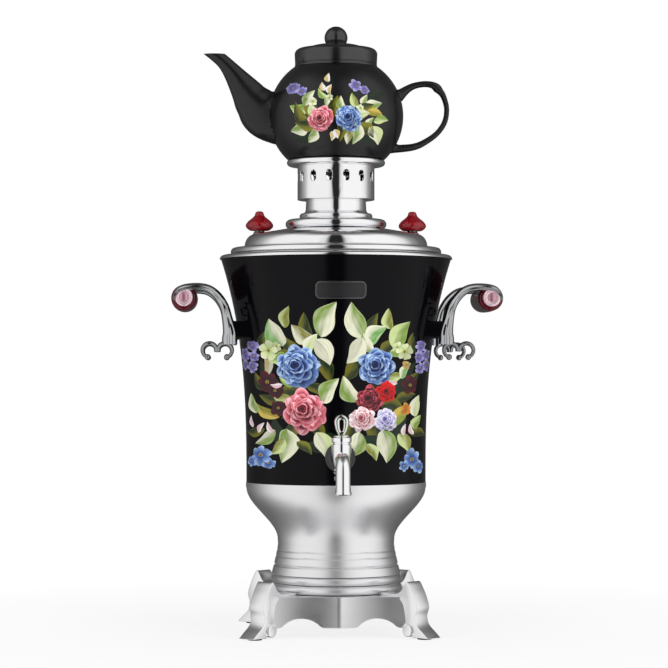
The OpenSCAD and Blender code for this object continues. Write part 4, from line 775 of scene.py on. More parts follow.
def bouquet_roses(p):
    """The large roses, as (x, z, radius, heart, body, rim, which lies over which)."""
    for rose in ((-39, 249.5, 19.5, navy, royal, ice, 0), (34, 250.0, 17.5, navy, royal, ice, 0),
                 (27, 220.0, 12.5, wine, crimson, rose_pink, 1),
                 (43, 227.0, 9.5, wine, scarlet, scarlet * 1.4, 2),
                 (-32, 209.0, 20.0, crimson, rose_pink, shell_pink, 1),
                 (42.5, 201.0, 11.0, mauve, lilac, white, 1),
                 (20.5, 202.0, 12.5, rose_pink * 0.7, blush, white, 2)):
        p.rose(*rose)


def bouquet_sprays(p):
    """The small flowers and the buds between the roses and at both sides."""
    for x, z, r in ((-80, 270, 6.0), (-86, 262, 6.0), (-78, 260, 5.0), (-86, 252, 5.5), (-79, 250, 5.0)):
        p.blossom(x, z, r, violet, mauve, lilac)
        p.blossom(-x - 3, z - 1, r, violet, mauve, lilac)
    for x, z, r in ((-65, 265, 8.0), (-58, 269, 4.5)):
        p.blossom(x, z, r, green, pale_green, cream)
        p.blossom(-x - 5, z - 1, r, green, pale_green, cream)
    for x, z, r in ((-66, 236, 9.0), (-59, 228, 7.0), (-56, 212, 7.0), (66, 233, 8.0)):
        p.blossom(x, z, r, wine * 0.5, wine, crimson)
    p.blossom(62, 252, 4.0, orange, tan, yellow)
    p.blossom(62, 211, 6.0, orange * 0.5, orange, yellow)
    for x, z, lean in ((-72, 194, 60), (-64, 194, 115), (-80, 199, 100), (60, 192, 80),
                       (67, 192, 110), (48, 236, 160), (-58, 233, 180)):
        p.leaf(x, z, 11, 4.6, lean, blush, white)
    for x, z in ((-72, 166), (68, 162)):
        p.blossom(x, z + 2, 9.5, navy, royal, ice, 6)
        p.blossom(x - 8, z - 4, 5.5, navy, royal, ice)
        p.blossom(x + 7, z - 5, 6.0, navy, royal, ice)


paint_both_sides("painted", shell_r, (
    ("backing", backing, 0), ("leaves", bouquet_leaves, 11), ("sprays", bouquet_sprays, 22),
    ("roses", bouquet_roses, 28)))

# ---- Rim ring ----
# A polished ring of thick plated sheet with a rounded edge, pressed on to the tank's flange over
# the lip of the shell. The lid stands on it.
rim_low, rim_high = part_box("rim_ring")
rim_r = rim_high.x
rim_in_r = rim_r - 0.0135
rim_h = rim_high.z - rim_low.z
rim_waist = 0.30 * rim_h
rim_line = [(rim_r - rim_h / 2 + rim_h / 2 * math.cos(t),
             rim_low.z + rim_waist + (rim_waist if t < 0 else rim_h - rim_waist) * math.sin(t))
            for t in (math.radians(-90 + 10 * k) for k in range(19))]
bm = turned([(rim_in_r, rim_low.z)] + rim_line + [(rim_in_r, rim_high.z)], turns=192)
dress("polished_rim", bm, chrome, nodes=["rim_ring"])

# ---- Badge ----
# A pressed plate with a raised polished border round a plain dark field, held flat against the
# curve of the shell by two studs from inside.
badge_low, badge_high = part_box("badge_plate")
badge_z = (badge_low.z + badge_high.z) / 2
badge_half_w = badge_high.x
badge_half_h = (badge_high.z - badge_low.z) / 2
badge_corner = 0.005
badge_border = 0.002
border_proud = 0.0017
field_proud = 0.0009
field_cells = (44, 12)
badge_paint = finish("badge_field", (0.022, 0.022, 0.024), 0.32, metallic=0.4,
                     grain=(700, 700, 700), relief=6e-6, patchy=0.2)


def skin(bm, loops, closed=True, joined=False, capped=False):
    """Bridges each loop of 3-D points to the next, and caps both ends or joins them."""
    rings = []
    for loop in loops:
        verts = [bm.verts.new(p) for p in loop]
        ends = verts[1:] + verts[:1] if closed else verts[1:]
        rings.append([bm.edges.new(ends_of) for ends_of in zip(verts, ends)])
    for a, b in zip(rings, rings[1:] + (rings[:1] if joined else [])):
        bmesh.ops.bridge_loops(bm, edges=a + b)
    if capped:
        bmesh.ops.holes_fill(bm, edges=rings[0] + rings[-1], sides=0)
    bmesh.ops.recalc_face_normals(bm, faces=bm.faces)
    return bm


def tile(u, v, inset, out):
    """A point of a rounded tile on the front of the shell, from u and v between -1 and 1."""
    half_w, half_h = badge_half_w - inset, badge_half_h - inset
    corner = badge_corner - inset
    x, z = u * half_w, v * half_h
    a, b = (abs(x) - half_w + corner) / corner, (abs(z) - half_h + corner) / corner
    if a > 0 and b > 0:
        x -= math.copysign(corner * a * (1 - math.sqrt(1 - b * b / 2)), x)
        z -= math.copysign(corner * b * (1 - math.sqrt(1 - a * a / 2)), z)
    return Vector((x, -math.sqrt((shell_r(badge_z + z) + out) ** 2 - x * x), badge_z + z))


edge_uv = [(-1 + 2 * i / field_cells[0], -1) for i in range(field_cells[0])]
edge_uv += [(1, -1 + 2 * i / field_cells[1]) for i in range(field_cells[1])]
edge_uv += [(-u, -v) for u, v in edge_uv]
bm = skin(bmesh.new(), [[tile(u, v, inset, out) for u, v in edge_uv] for inset, out in (
    (0.0, -0.0004), (0.0, border_proud - 0.0006), (0.0002, border_proud - 0.0002),
    (0.0006, border_proud), (badge_border - 0.0007, border_proud),
    (badge_border - 0.0003, border_proud - 0.0002), (badge_border, field_proud))])
border_metal = finish("badge_border", (0.11, 0.11, 0.11), 0.3, metallic=1.0,
                      grain=(600, 600, 600), relief=4e-6, patchy=0.2)
dress("badge_border", bm, border_metal, nodes=["badge_plate"], crease=50)
bm = bmesh.new()
bmesh.ops.create_grid(bm, x_segments=field_cells[0], y_segments=field_cells[1], size=1)
for v in bm.verts:
    v.co = tile(v.co.x, v.co.y, badge_border - 0.00005, field_proud)
bmesh.ops.recalc_face_normals(bm, faces=bm.faces)
if sum(f.normal.y for f in bm.faces) > 0:
    bmesh.ops.reverse_faces(bm, faces=bm.faces)
dress("badge_field", bm, badge_paint)

# ---- Side arms ----
# Two cast scroll arms at each side, chromium plated. Three flutes run up the foot of each arm and
# turn into two beads where it bends over the grip; below the foot it splits into two curls.
arm_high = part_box("handle_arms_right")[1]
arm_in_y = 0.040
arm_t = arm_high.y - arm_in_y
arm_mid_y = arm_in_y + arm_t / 2
arm_foot_z = shell_foot_z + 0.135
flute_depth = 0.17
flute_steps = 26
strap_x = 0.1010
curl_r = 0.0065
curl_half_t = 0.0023
curl_half_w = 0.0034
curl_ball_r = 0.0028
curl_z = arm_foot_z - curl_r


def arm_section(w, triple):
    """One section of the strap, as (across, out) points: beads and hollows on both faces."""
    points = []
    for side in (1, -1):
        for k in range(flute_steps):
            n = -side * math.cos(math.pi * (k + 0.5) / flute_steps)
            three = 0.5 - 0.5 * math.cos(3 * math.pi * n)
            two = 0.5 + 0.5 * math.cos(2 * math.pi * n)
            hollow = flute_depth * (triple * three + (1 - triple) * two)
            full = (1 - abs(n) ** 5) ** 0.5
            points.append((w * n, side * arm_t / 2 * full * (1 - hollow)))
    return points


def swept(bm, path, sections, middle_y=0.0):
    """A bar along (x, z) points, with a section of (across, out) points at each of them."""
    loops = []
    for i, (point, section) in enumerate(zip(path, sections)):
        a, b = path[max(i - 1, 0)], path[min(i + 1, len(path) - 1)]
        along = Vector((b[0] - a[0], b[1] - a[1])).normalized()
        loops.append([(point[0] + along.y * n, middle_y + out, point[1] - along.x * n)
                      for n, out in section])
    return skin(bm, loops, capped=True)


def oval(half_across, half_out, sides):
    """A bar's oval section, as (across, out) points."""
    turns = [2 * math.pi * k / sides for k in range(sides)]
    return [(-half_across * math.cos(t), half_out * math.sin(t)) for t in turns]


def curl(bm, x, z, r, start, stop):
    """A C-shaped curl that thins along its way and ends in a ball."""
    count = 22
    turns = [math.radians(start + (stop - start) * k / count) for k in range(count + 1)]
    path = [(x + r * math.cos(t), z + r * math.sin(t)) for t in turns]
    thinner = [(0.0006 * k / count, 0.0010 * k / count) for k in range(count + 1)]
    swept(bm, path, [oval(curl_half_t - a, curl_half_w - b, 16) for a, b in thinner], arm_mid_y)
    bmesh.ops.create_uvsphere(bm, u_segments=20, v_segments=12, radius=curl_ball_r,
                              matrix=Matrix.Translation((path[-1][0], arm_mid_y, path[-1][1])))


def four_fold(bm):
    """bm at both sides of the vessel, in front and behind."""
    for axis in ((1, 0, 0), (0, 1, 0)):
        copied = bmesh.ops.duplicate(bm, geom=bm.verts[:] + bm.edges[:] + bm.faces[:])["geom"]
        verts = [g for g in copied if isinstance(g, bmesh.types.BMVert)]
        faces = [g for g in copied if isinstance(g, bmesh.types.BMFace)]
        flip = Matrix.Diagonal([-1 if c else 1 for c in axis])
        bmesh.ops.transform(bm, verts=verts, matrix=flip.to_4x4())
        bmesh.ops.reverse_faces(bm, faces=faces)
    return bm


def split_sides(name, bm, material, node=None):
    """The right half and the left half of bm as two pieces, each for the node of its side."""
    for side, sign in (("right", 1), ("left", -1)):
        half = bm.copy()
        bmesh.ops.delete(half, geom=[v for v in half.verts if sign * v.co.x < 0],
                         context="VERTS")
        dress(f"{name}_{side}", half, material, nodes=[f"{node}_{side}"] if node else [])
    bm.free()


# The strap's middle line, its half width, and how much of it has three flutes and not two beads
strap_line = curve_through([
    (strap_x, arm_foot_z - 0.0010, 0.0072, 1.0), (strap_x, arm_foot_z + 0.0045, 0.0072, 1.0),
    (strap_x - 0.0002, arm_foot_z + 0.0106, 0.0066, 1.0), (0.1032, arm_foot_z + 0.0230, 0.0050, 0.9),
    (0.1058, arm_foot_z + 0.0335, 0.0044, 0.4), (0.1109, arm_foot_z + 0.0424, 0.0041, 0.0),
    (0.1174, arm_foot_z + 0.0486, 0.0039, 0.0), (0.1247, arm_foot_z + 0.0518, 0.0037, 0.0),
    (0.1357, arm_foot_z + 0.0524, 0.0036, 0.0), (0.1460, arm_foot_z + 0.0506, 0.0032, 0.0),
    (0.1510, arm_foot_z + 0.0455, 0.0024, 0.0), (0.1526, arm_foot_z + 0.0400, 0.0014, 0.0)], 5)
bm = swept(bmesh.new(), [(x, z) for x, z, _, _ in strap_line],
           [arm_section(w, triple) for _, _, w, triple in strap_line], arm_mid_y)
arm_plate = finish("arm_plate", (0.50, 0.51, 0.52), 0.14, metallic=1.0, grain=(300, 300, 300),
                   relief=2e-6, patchy=0.25, dirt=0.25)
split_sides("cast_arms", four_fold(bm), arm_plate, "handle_arms")
curl_plate = finish("curl_plate", (0.30, 0.31, 0.31), 0.18, metallic=1.0, grain=(300, 300, 300),
                    relief=2e-6, patchy=0.25, dirt=0.3)
bm = bmesh.new()
curl(bm, 0.1198, curl_z, curl_r, 190, -75)
curl(bm, 0.1052, curl_z, curl_r, -10, 255)
split_sides("arm_curls", four_fold(bm), curl_plate)

# ---- Arm feet ----
# A lug behind the foot of each arm, the pad that spreads its load on the wall, and a small boss
# over the upper screw. All are cast steel, enamelled black with the vessel.
pad_z = arm_foot_z + 0.0196
pad_half_h = 0.018
pad_half_w = 0.0078
arm_pad_t = 0.0024
lug_z = arm_foot_z + 0.0126
lug_half_h = 0.0082
lug_half_w = arm_t / 2 - 0.0006
boss_z = pad_z + 0.010
boss_h = 0.0058
boss_r = 0.0048
bm = bmesh.new()
lug_loops = []
for k in range(15):
    up = math.cos(math.pi * k / 14)
    z = lug_z + lug_half_h * up
    half_y = max(0.35, (1 - abs(up) ** 4) ** 0.25) * lug_half_w
    inner_x = math.sqrt(shell_r(z) ** 2 - arm_mid_y ** 2) - 0.0004
    lug_loops.append([(x, arm_mid_y + y, z) for x, y in (
        (inner_x, -half_y), (strap_x, -half_y), (strap_x + 0.002, -0.6 * half_y),
        (strap_x + 0.002, 0.6 * half_y), (strap_x, half_y), (inner_x, half_y))])
skin(bm, lug_loops, capped=True)
pad_loops = []
for k in range(13):
    up = math.cos(math.pi * k / 12)
    z = pad_z + pad_half_h * up
    half_y = pad_half_w * (1 - abs(up) ** 6) ** 0.3 + 0.0004
    loop = []
    for out, edge_y, way in ((0.0001, half_y, 1), (arm_pad_t, half_y - 0.0006, -1)):
        ys = [arm_mid_y + way * edge_y * (j / 3 - 1) for j in range(7)]
        loop += [(math.sqrt((shell_r(z) + out) ** 2 - y * y), y, z) for y in ys]
    pad_loops.append(loop)
skin(bm, pad_loops, capped=True)
boss_turn = math.asin(arm_mid_y / shell_r(boss_z))
boss = turned(rounded([(0, 0, 0), (boss_r, 0, 0), (0.75 * boss_r, boss_h, 0.0015),
                       (0, boss_h, 0)]), closed=False, turns=32)
bmesh.ops.rotate(boss, verts=boss.verts, matrix=Matrix.Rotation(math.pi / 2, 3, "Y"))
bmesh.ops.translate(boss, verts=boss.verts, vec=(shell_r(boss_z) + 0.0004, 0, boss_z))
bmesh.ops.rotate(boss, verts=boss.verts, matrix=Matrix.Rotation(boss_turn, 3, "Z"))
gather(bm, boss)
split_sides("arm_feet", four_fold(bm), enamel)

# ---- Grip ends ----
# A turned disc lies in the bend of each arm at the end of its grip, with a domed nut on the rod
# in its middle. Both are plated; their rosy tint is a painted reflection of the clear red resin behind
# them.
plate_with_painted_red_reflection = finish("plate_painted_red_reflection", (0.86, 0.62, 0.68), 0.22, metallic=0.55,
                    grain=(400, 400, 400), relief=3e-6, patchy=0.3, dirt=0.15)
nut_with_painted_red_reflection = finish("nut_painted_red_reflection", (0.60, 0.32, 0.40), 0.2, metallic=0.7,
                   grain=(500, 500, 500), relief=3e-6, patchy=0.3, dirt=0.25)
grip_low, grip_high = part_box("grip_right")
grip_x = (grip_low.x + grip_high.x) / 2
grip_z = (grip_low.z + grip_high.z) / 2
disc_r = 0.0085
nut_r = 0.0045
nut_round = 0.0016


def on_grip_ends(points):
    """A turned piece at both ends of both grips, its foot on the inner face of the arm."""
    bm = turned(points, turns=48, closed=False)
    bmesh.ops.rotate(bm, verts=bm.verts, matrix=Matrix.Rotation(-math.pi / 2, 3, "X"))
    bmesh.ops.translate(bm, verts=bm.verts, vec=(grip_x, arm_in_y, grip_z))
    return four_fold(bm)


bm = on_grip_ends(rounded([
    (0, 0.0004, 0), (disc_r - 0.0005, 0.0004, 0.0006), (disc_r, arm_t - 0.0016, 0.0008),
    (disc_r - 0.0016, arm_t - 0.0002, 0.001), (disc_r - 0.0036, arm_t - 0.0006, 0.0008),
    (0, arm_t - 0.0006, 0)]))
split_sides("grip_discs", bm, plate_with_painted_red_reflection)
nut_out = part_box("grip_end_nuts")[1].y - arm_in_y
bm = on_grip_ends([(0, arm_t - 0.0010), (nut_r, arm_t - 0.0010)]
                  + bead(nut_r - nut_round, nut_out - nut_round - 0.0001, nut_round, -20, 70, 6)
                  + [(0, nut_out)])
dress("domed_nuts", bm, nut_with_painted_red_reflection, nodes=["grip_end_nuts"])

# ---- Grips ----
# Turned from clear dark red resin rod, slightly barrelled and rounded at both ends. A steel rod
# through each one clamps it between its two arms.
grip_resin = finish("grip_resin", (0.12, 0.002, 0.010), 0.12, grain=(40, 260, 260), relief=3e-6,
                    patchy=0.3, dirt=0.3, Transmission_Weight=0.15, IOR=1.40)
grip_r = (grip_high.x - grip_low.x) / 2
grip_len = grip_high.y - grip_low.y
bore_r = 0.0025
end_round = 0.0028
end_r = grip_r - 0.0036
barrelled = 0.0006
half_line = [(bore_r, 0), (end_r, 0)] + bead(end_r, end_round, end_round, -90, -12, 7)
half_line += [(grip_r - barrelled * (1 - math.sin(math.pi * k / 16)), k * grip_len / 16)
              for k in range(1, 9)]
whole_line = half_line + [(r, grip_len - y) for r, y in reversed(half_line[:-1])]
for label, sign in (("right", 1), ("left", -1)):
    bm = turned(whole_line, turns=80)
    bmesh.ops.rotate(bm, verts=bm.verts, matrix=Matrix.Rotation(-math.pi / 2, 3, "X"))
    bmesh.ops.translate(bm, verts=bm.verts, vec=(sign * grip_x, grip_low.y, grip_z))
    dress(f"resin_grip_{label}", bm, grip_resin, nodes=[f"grip_{label}"])

# ---- Tap ----
# A cast and turned tap, chromium plated: a pipe through the wall, an upright barrel for the key
# and a nozzle that turns down.
tap_low, tap_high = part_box("tap_body")
tap_y = -0.110
pipe_z = shell_foot_z + 0.030
pipe_r = 0.0063
pipe_bore = 0.004
pipe_len = 0.066
pipe_in = 0.0061
collar_at = 0.047
collar_out = 0.0016
barrel_r = 0.00935
barrel_bore_r = 0.0056
neck_of_barrel_r = barrel_r - 0.0012
foot_of_barrel_r = barrel_r - 0.0018
barrel_low = tap_low.z + 0.020
barrel_high = tap_high.z
nozzle_flare = 0.0006
mouth_bead = 0.0010
nozzle_y = tap_low.y + pipe_r + nozzle_flare + mouth_bead
bend_r = 0.012


def lying(bm, y):
    """Turns an upright turned piece so that its top points to the front, its foot at y."""
    bmesh.ops.rotate(bm, verts=bm.verts, matrix=Matrix.Rotation(math.pi / 2, 3, "X"))
    bmesh.ops.translate(bm, verts=bm.verts, vec=(0, y, pipe_z))
    return bm


barrel = [(barrel_bore_r, barrel_high, 0.0003), (barrel_r, barrel_high, 0.0007),
          (barrel_r, barrel_high - 0.0040, 0.0006),
          (neck_of_barrel_r, barrel_high - 0.0048, 0.0004),
          (neck_of_barrel_r, barrel_high - 0.0058, 0.0003),
          (barrel_r - 0.0003, barrel_high - 0.0066, 0.0008), (barrel_r - 0.0006, pipe_z, 0.004),
          (barrel_r - 0.0022, barrel_low + 0.0050, 0.002),
          (barrel_r - 0.0030, barrel_low + 0.0038, 0.0003),
          (foot_of_barrel_r, barrel_low + 0.0026, 0.0008),
          (foot_of_barrel_r, barrel_low + 0.0008, 0.0008), (barrel_bore_r, barrel_low, 0.0003)]
bm = turned(rounded(barrel, 4), turns=96, middle=(0, tap_y))
pipe = turned(rounded([(pipe_bore, 0.0, 0), (pipe_r, 0.0, 0), (pipe_r, collar_at, 0.0004),
                       (pipe_r + collar_out, collar_at + 0.0012, 0.0008),
                       (pipe_r + collar_out, collar_at + 0.0026, 0.0008),
                       (pipe_r, collar_at + 0.0038, 0.0004), (pipe_r, pipe_len, 0),
                       (pipe_bore, pipe_len, 0)], 4), turns=64)
gather(bm, lying(pipe, tap_y + pipe_len - pipe_in))

# The nozzle, along (y, z): out of the barrel, down through a bend, and back up inside its mouth
way = [(tap_y + 0.004, pipe_z), (tap_y - 0.004, pipe_z), (nozzle_y + bend_r + 0.002, pipe_z)]
way += [(nozzle_y + bend_r + bend_r * math.cos(t), pipe_z - bend_r + bend_r * math.sin(t))
        for t in (math.radians(90 + 90 * k / 12) for k in range(13))]
way += [(nozzle_y, z) for z in (tap_low.z + 0.012, tap_low.z + 0.008)]
widths = [pipe_r + nozzle_flare * k / (len(way) - 1) for k in range(len(way))]
mouth = [(0.0035, 0.0002), (0.0022, mouth_bead), (0.0012, mouth_bead), (0.0004, 0.0002)]
outer = [(y, z, r) for (y, z), r in zip(way, widths)]
outer += [(nozzle_y, tap_low.z + up, pipe_r + nozzle_flare + lip) for up, lip in mouth]
outer.append((nozzle_y, tap_low.z, pipe_r))
inner = [(nozzle_y, tap_low.z, pipe_bore + 0.0004), (nozzle_y, tap_low.z + 0.0012, pipe_bore)]
inner += [(nozzle_y, tap_low.z + 0.014, pipe_bore)]
loops = []
for i, (y, z, r) in enumerate(outer + inner):
    along = Vector((0, 0, -1))
    if i < len(way) - 2:
        a, b = way[max(i - 1, 0)], way[i + 1]
        along = Vector((0, b[0] - a[0], b[1] - a[1])).normalized()
    lift = Vector((1, 0, 0)).cross(along)
    loops.append([Vector((r * math.cos(t), y, z)) + lift * (r * math.sin(t))
                  for t in (2 * math.pi * k / 48 for k in range(48))])
skin(bm, loops, capped=True)
dress("chromed_tap", bm, chrome, nodes=["tap_body"])

# ---- Tap rosette ----
# A turned disc on a rubber ring, pulled against the wall by the nut inside. It is the same chrome
# as the tap, with its colour darkened as a painted reflection of the black enamel that it faces.
chrome_painted_enamel_reflection = finish("chrome_painted_enamel_reflection", (0.06, 0.06, 0.06), 0.12, metallic=1.0,
                     grain=(300, 300, 300), relief=2e-6, patchy=0.2, dirt=0.1)
rosette_low, rosette_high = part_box("tap_rosette")
rosette_r = rosette_high.x
rosette_out = rosette_high.y - rosette_low.y
bm = turned(rounded([(pipe_r, 0.0, 0), (rosette_r, 0.0, 0.0004), (rosette_r, 0.0012, 0.0006),
                     (rosette_r - 0.0016, 0.0020, 0.0008), (rosette_r - 0.0022, 0.0028, 0.0004),
                     (rosette_r - 0.0050, rosette_out, 0.0012), (pipe_r, rosette_out, 0.0003)], 4),
            turns=96)
lying(bm, rosette_high.y)
dress("tap_rosette_plate", bm, chrome_painted_enamel_reflection, nodes=["tap_rosette"])

# ---- Tap key ----
# A cast loop handle on a hub, in one piece with the plug that turns in the barrel. Nickel plated,
# a little warmer than the chrome. A spring and a nut under the barrel hold the plug down.
nickel = finish("nickel", (0.80, 0.84, 0.78), 0.12, metallic=1.0, grain=(400, 400, 400),
                relief=3e-6, patchy=0.3, dirt=0.08)
key_low, key_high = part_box("tap_key")
loop_half_w = 0.0065
loop_half_t = 0.00225
loop_waist = 0.42
slit_half_w = 0.0017
slit_waist = 0.1
slit_up = 0.0042
slit_down = 0.0046
hub_r = 0.007
hub_z = barrel_high + 0.0002
hub_h = 0.002
hub_top = hub_z + hub_h + 0.0006
plug_r = 0.0055
plug_stem_r = 0.0028
loop_low = hub_z + hub_h - 0.0004
loop_top = key_high.z


def key_outline(half_w, low_z, high_z, waist, count=40):
    """The front view of the loop handle: round on top and drawn in to a waist at the foot."""
    points = []
    for k in range(count):
        t = 2 * math.pi * (k + 0.5) / count - math.pi / 2
        c, s = math.cos(t), math.sin(t)
        if s > 0:
            points.append((half_w * c, high_z - half_w + half_w * s))
            continue
        x = half_w * (1 - waist * s ** 2) * min(1.0, abs(c) ** 0.35)
        points.append((math.copysign(x, c), (high_z - half_w) * (1 + s) - low_z * s))
    return points


outer_line = key_outline(loop_half_w, loop_low, loop_top, loop_waist)
inner_line = key_outline(slit_half_w, loop_low + slit_up, loop_top - slit_down, slit_waist)
loops = []
for k in range(14):
    t = 2 * math.pi * k / 14
    c, s = math.cos(t), math.sin(t)
    f = 0.5 - 0.5 * math.copysign(abs(c) ** 0.7, c)
    y = tap_y + loop_half_t * math.copysign(abs(s) ** 0.8, s)
    loops.append([(a[0] + (b[0] - a[0]) * f, y, a[1] + (b[1] - a[1]) * f)
                  for a, b in zip(outer_line, inner_line)])
bm = skin(bmesh.new(), loops, joined=True)
hub = turned(rounded([(0, hub_z, 0), (hub_r, hub_z, 0.0005), (hub_r, hub_z + 0.0014, 0.0006),
                      (hub_r - 0.0030, hub_top, 0.0008), (0, hub_top, 0)], 4),
             closed=False, turns=64, middle=(0, tap_y))
gather(bm, hub)
plug = turned(rounded([(0, key_low.z, 0), (plug_stem_r, key_low.z, 0.0004),
                       (plug_stem_r, barrel_low - 0.001, 0), (plug_r, barrel_low - 0.0005, 0),
                       (plug_r, hub_z, 0), (0, hub_z, 0)]), closed=False, turns=48,
              middle=(0, tap_y))
gather(bm, plug)
dress("loop_key", bm, nickel, "tap_key", ["tap_key"])

# ---- Inlet housing and switch ----
# One moulding of black plastic at the back of the pedestal, with the socket for the lead and the
# frame of the switch, and the red rocker in it. Its edges are softened as a moulding's are.
housing_plastic = finish("black_moulding", (0.028, 0.028, 0.030), 0.42, grain=(1400, 1400, 1400),
                         relief=2e-5, patchy=0.15, dirt=0.2)
rocker_plastic = finish("red_moulding", (0.42, 0.02, 0.02), 0.3, grain=(900, 900, 900),
                        relief=6e-6, patchy=0.2, dirt=0.15)


def softened(name, node, material, width, body="root"):
    """The node's own shape as a new piece, with its sharp edges rounded."""
    bm = bmesh.new()
    bm.from_mesh(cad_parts[node].data)
    bmesh.ops.remove_doubles(bm, verts=bm.verts, dist=1e-6)
    bmesh.ops.dissolve_limit(bm, angle_limit=math.radians(1), verts=bm.verts, edges=bm.edges)
    bmesh.ops.recalc_face_normals(bm, faces=bm.faces)
    ease_edges(dress(name, bm, material, body, [node]), width, 3, 35)


softened("inlet_moulding", "power_housing", housing_plastic, 0.0005)
softened("rocker_moulding", "switch_rocker", rocker_plastic, 0.0003, "rocker")

# ---- Lid ----
# Spun sheet with a mirror polish: a flat edge, a full round shoulder and a low crown that rises
# to the bead. The skirt drops inside the rim ring and keeps the lid in place.
dome_low, dome_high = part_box("lid_dome")
skirt_r = rim_in_r - 0.0005
lid_z = rim_high.z + 0.0002
lid_r = dome_high.x
neck_low, neck_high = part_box("lid_neck")
bead_out_r = neck_high.x
crown_z = neck_low.z
shoulder_r = lid_r - 0.0105
shoulder_h = 0.0128
neck_bore_r = 0.024
edge_round = 0.0006
shoulder = [(shoulder_r + (lid_r - 0.0012 - shoulder_r) * math.cos(a),
             lid_z + sheet + (shoulder_h - sheet) * math.sin(a))
            for a in (math.radians(6 * k) for k in range(14))]
under = [(r - sheet, z - sheet) for r, z in reversed(shoulder)]
bm = turned([(skirt_r - sheet, dome_low.z), (skirt_r, dome_low.z), (skirt_r, lid_z),
             (lid_r, lid_z)] + bead(lid_r - edge_round, lid_z + edge_round, edge_round, -30, 90, 4)
            + shoulder
            + [(bead_out_r, crown_z), (neck_bore_r, crown_z), (neck_bore_r, crown_z - sheet),
               (bead_out_r, crown_z - sheet)] + under + [(skirt_r - sheet, lid_z + sheet)],
            turns=192)
dress("polished_lid", bm, chrome, "lid", ["lid_dome"])

# ---- Lid neck ----
# Bead, ring and neck, turned from one steel blank, polished, and soldered on the lid. The crown
# stands on the neck.
lid_bead_h = 0.009
neck_ring_r = 0.0347
neck_ring_h = 0.006
neck_r = 0.0289
neck_ring_z = crown_z + lid_bead_h
neck_z = neck_ring_z + neck_ring_h
bm = turned([(neck_bore_r, crown_z)]
            + bead(bead_out_r - lid_bead_h / 2, crown_z + lid_bead_h / 2, lid_bead_h / 2,
                   steps=16)
            + [(neck_ring_r + 0.0012, neck_ring_z), (neck_ring_r, neck_ring_z + 0.0004)]
            + bead(neck_ring_r - neck_ring_h / 2, neck_ring_z + neck_ring_h / 2, neck_ring_h / 2,
                   -60, 60, 10)
            + curve_through([(neck_r + 0.0018, neck_z), (neck_r + 0.0006, neck_z + 0.0014),
                             (neck_r, neck_z + 0.003)], 3)
            + rounded([(neck_r, neck_high.z, 0.0005), (neck_bore_r, neck_high.z, 0.0004)]),
            turns=160)
dress("turned_neck", bm, chrome, "lid", ["lid_neck"])

# ---- Lid knobs ----
# Two onion knobs cast in clear dark red resin, each on a small polished ferrule. A screw from
# under the lid holds them.
red_resin = finish("dark_red_resin", (0.33, 0.003, 0.010), 0.09, grain=(220, 220, 220),
                   relief=2e-6, patchy=0.3, dirt=0.3, Transmission_Weight=0.25, IOR=1.45,
                   Coat_Weight=0.3)
knob_low, knob_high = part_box("lid_knobs")
knob_r = 0.013
knob_x = knob_high.x - knob_r
knob_foot_r = 0.62 * knob_r
knob_h = knob_high.z - knob_low.z
ferrule_low, ferrule_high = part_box("lid_knob_ferrules")
ferrule_r = ferrule_high.x - knob_x


def pair(points):
    """The same turned piece at each side of the lid."""
    bm = turned(points, closed=False, turns=64)
    bmesh.ops.translate(bm, verts=bm.verts, vec=(knob_x, 0, 0))
    around(bm, 2)
    return bm


onion = [(0.76, 0.03), (0.96, 0.16), (1.0, 0.30), (0.84, 0.48), (0.56, 0.64), (0.38, 0.76),
         (0.32, 0.86), (0.26, 0.96), (0.12, 1.0)]
bm = pair([(0, knob_low.z), (knob_foot_r, knob_low.z)]
          + curve_through([(knob_r * r, knob_low.z + knob_h * h) for r, h in onion], 5)
          + [(0, knob_high.z)])
dress("resin_knobs", bm, red_resin, "lid", ["lid_knobs"])
bm = pair(rounded([(0, ferrule_low.z, 0), (ferrule_r, ferrule_low.z, 0.0003),
                   (ferrule_r, ferrule_low.z + 0.0016, 0.0005),
                   (ferrule_r - 0.0014, ferrule_high.z - 0.0008, 0.0005),
                   (ferrule_r - 0.0006, ferrule_high.z, 0.0003), (0, ferrule_high.z, 0)]))
dress("knob_ferrules", bm, curl_plate, "lid", ["lid_knob_ferrules"])

# ---- Crown ----
# The teapot's stand: a drum rolled from sheet and pierced with a row of upright slots, so that
# the steam and heat of the vessel pass up round the pot, under a rolled flange.
drum_low, drum_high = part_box("crown_drum")
flange_low, flange_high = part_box("crown_flange")
drum_foot_z = neck_high.z + 0.0002
drum_r = drum_high.x
drum_top_z = flange_low.z
slot_count = 14
slot_half_w = 0.0031
slot_half_h = 0.00525
slot_z = drum_foot_z + 0.0214
panel_half_w = math.pi * drum_r / slot_count
slot_rim = 0.0006
loop_points = 48


def slot_outline(grow):
    """An upright slot with round ends, about the middle of its panel."""
    points = []
    straight = slot_half_h - slot_half_w
    for k in range(loop_points):
        t = 2 * math.pi * k / loop_points
        points.append(((slot_half_w + grow) * math.cos(t),
                       (slot_half_w + grow) * math.sin(t) + math.copysign(straight, math.sin(t))))
    return points


def panel_outline():
    """The edge of the panel in which one slot is cut, met in the slot's own directions."""
    points = []
    for k in range(loop_points):
        t = 2 * math.pi * k / loop_points
        reach = 1 / max(abs(math.cos(t)), abs(math.sin(t)))
        x, y = reach * math.cos(t), reach * math.sin(t)
        high = drum_top_z - slot_z if y > 0 else slot_z - drum_foot_z
        points.append((panel_half_w * x, high * y))
    return points


def on_drum(x, y):
    """A point of the flat sheet once it is rolled into the drum."""
    turn = x / drum_r
    return drum_r * math.sin(turn), -drum_r * math.cos(turn), slot_z + y


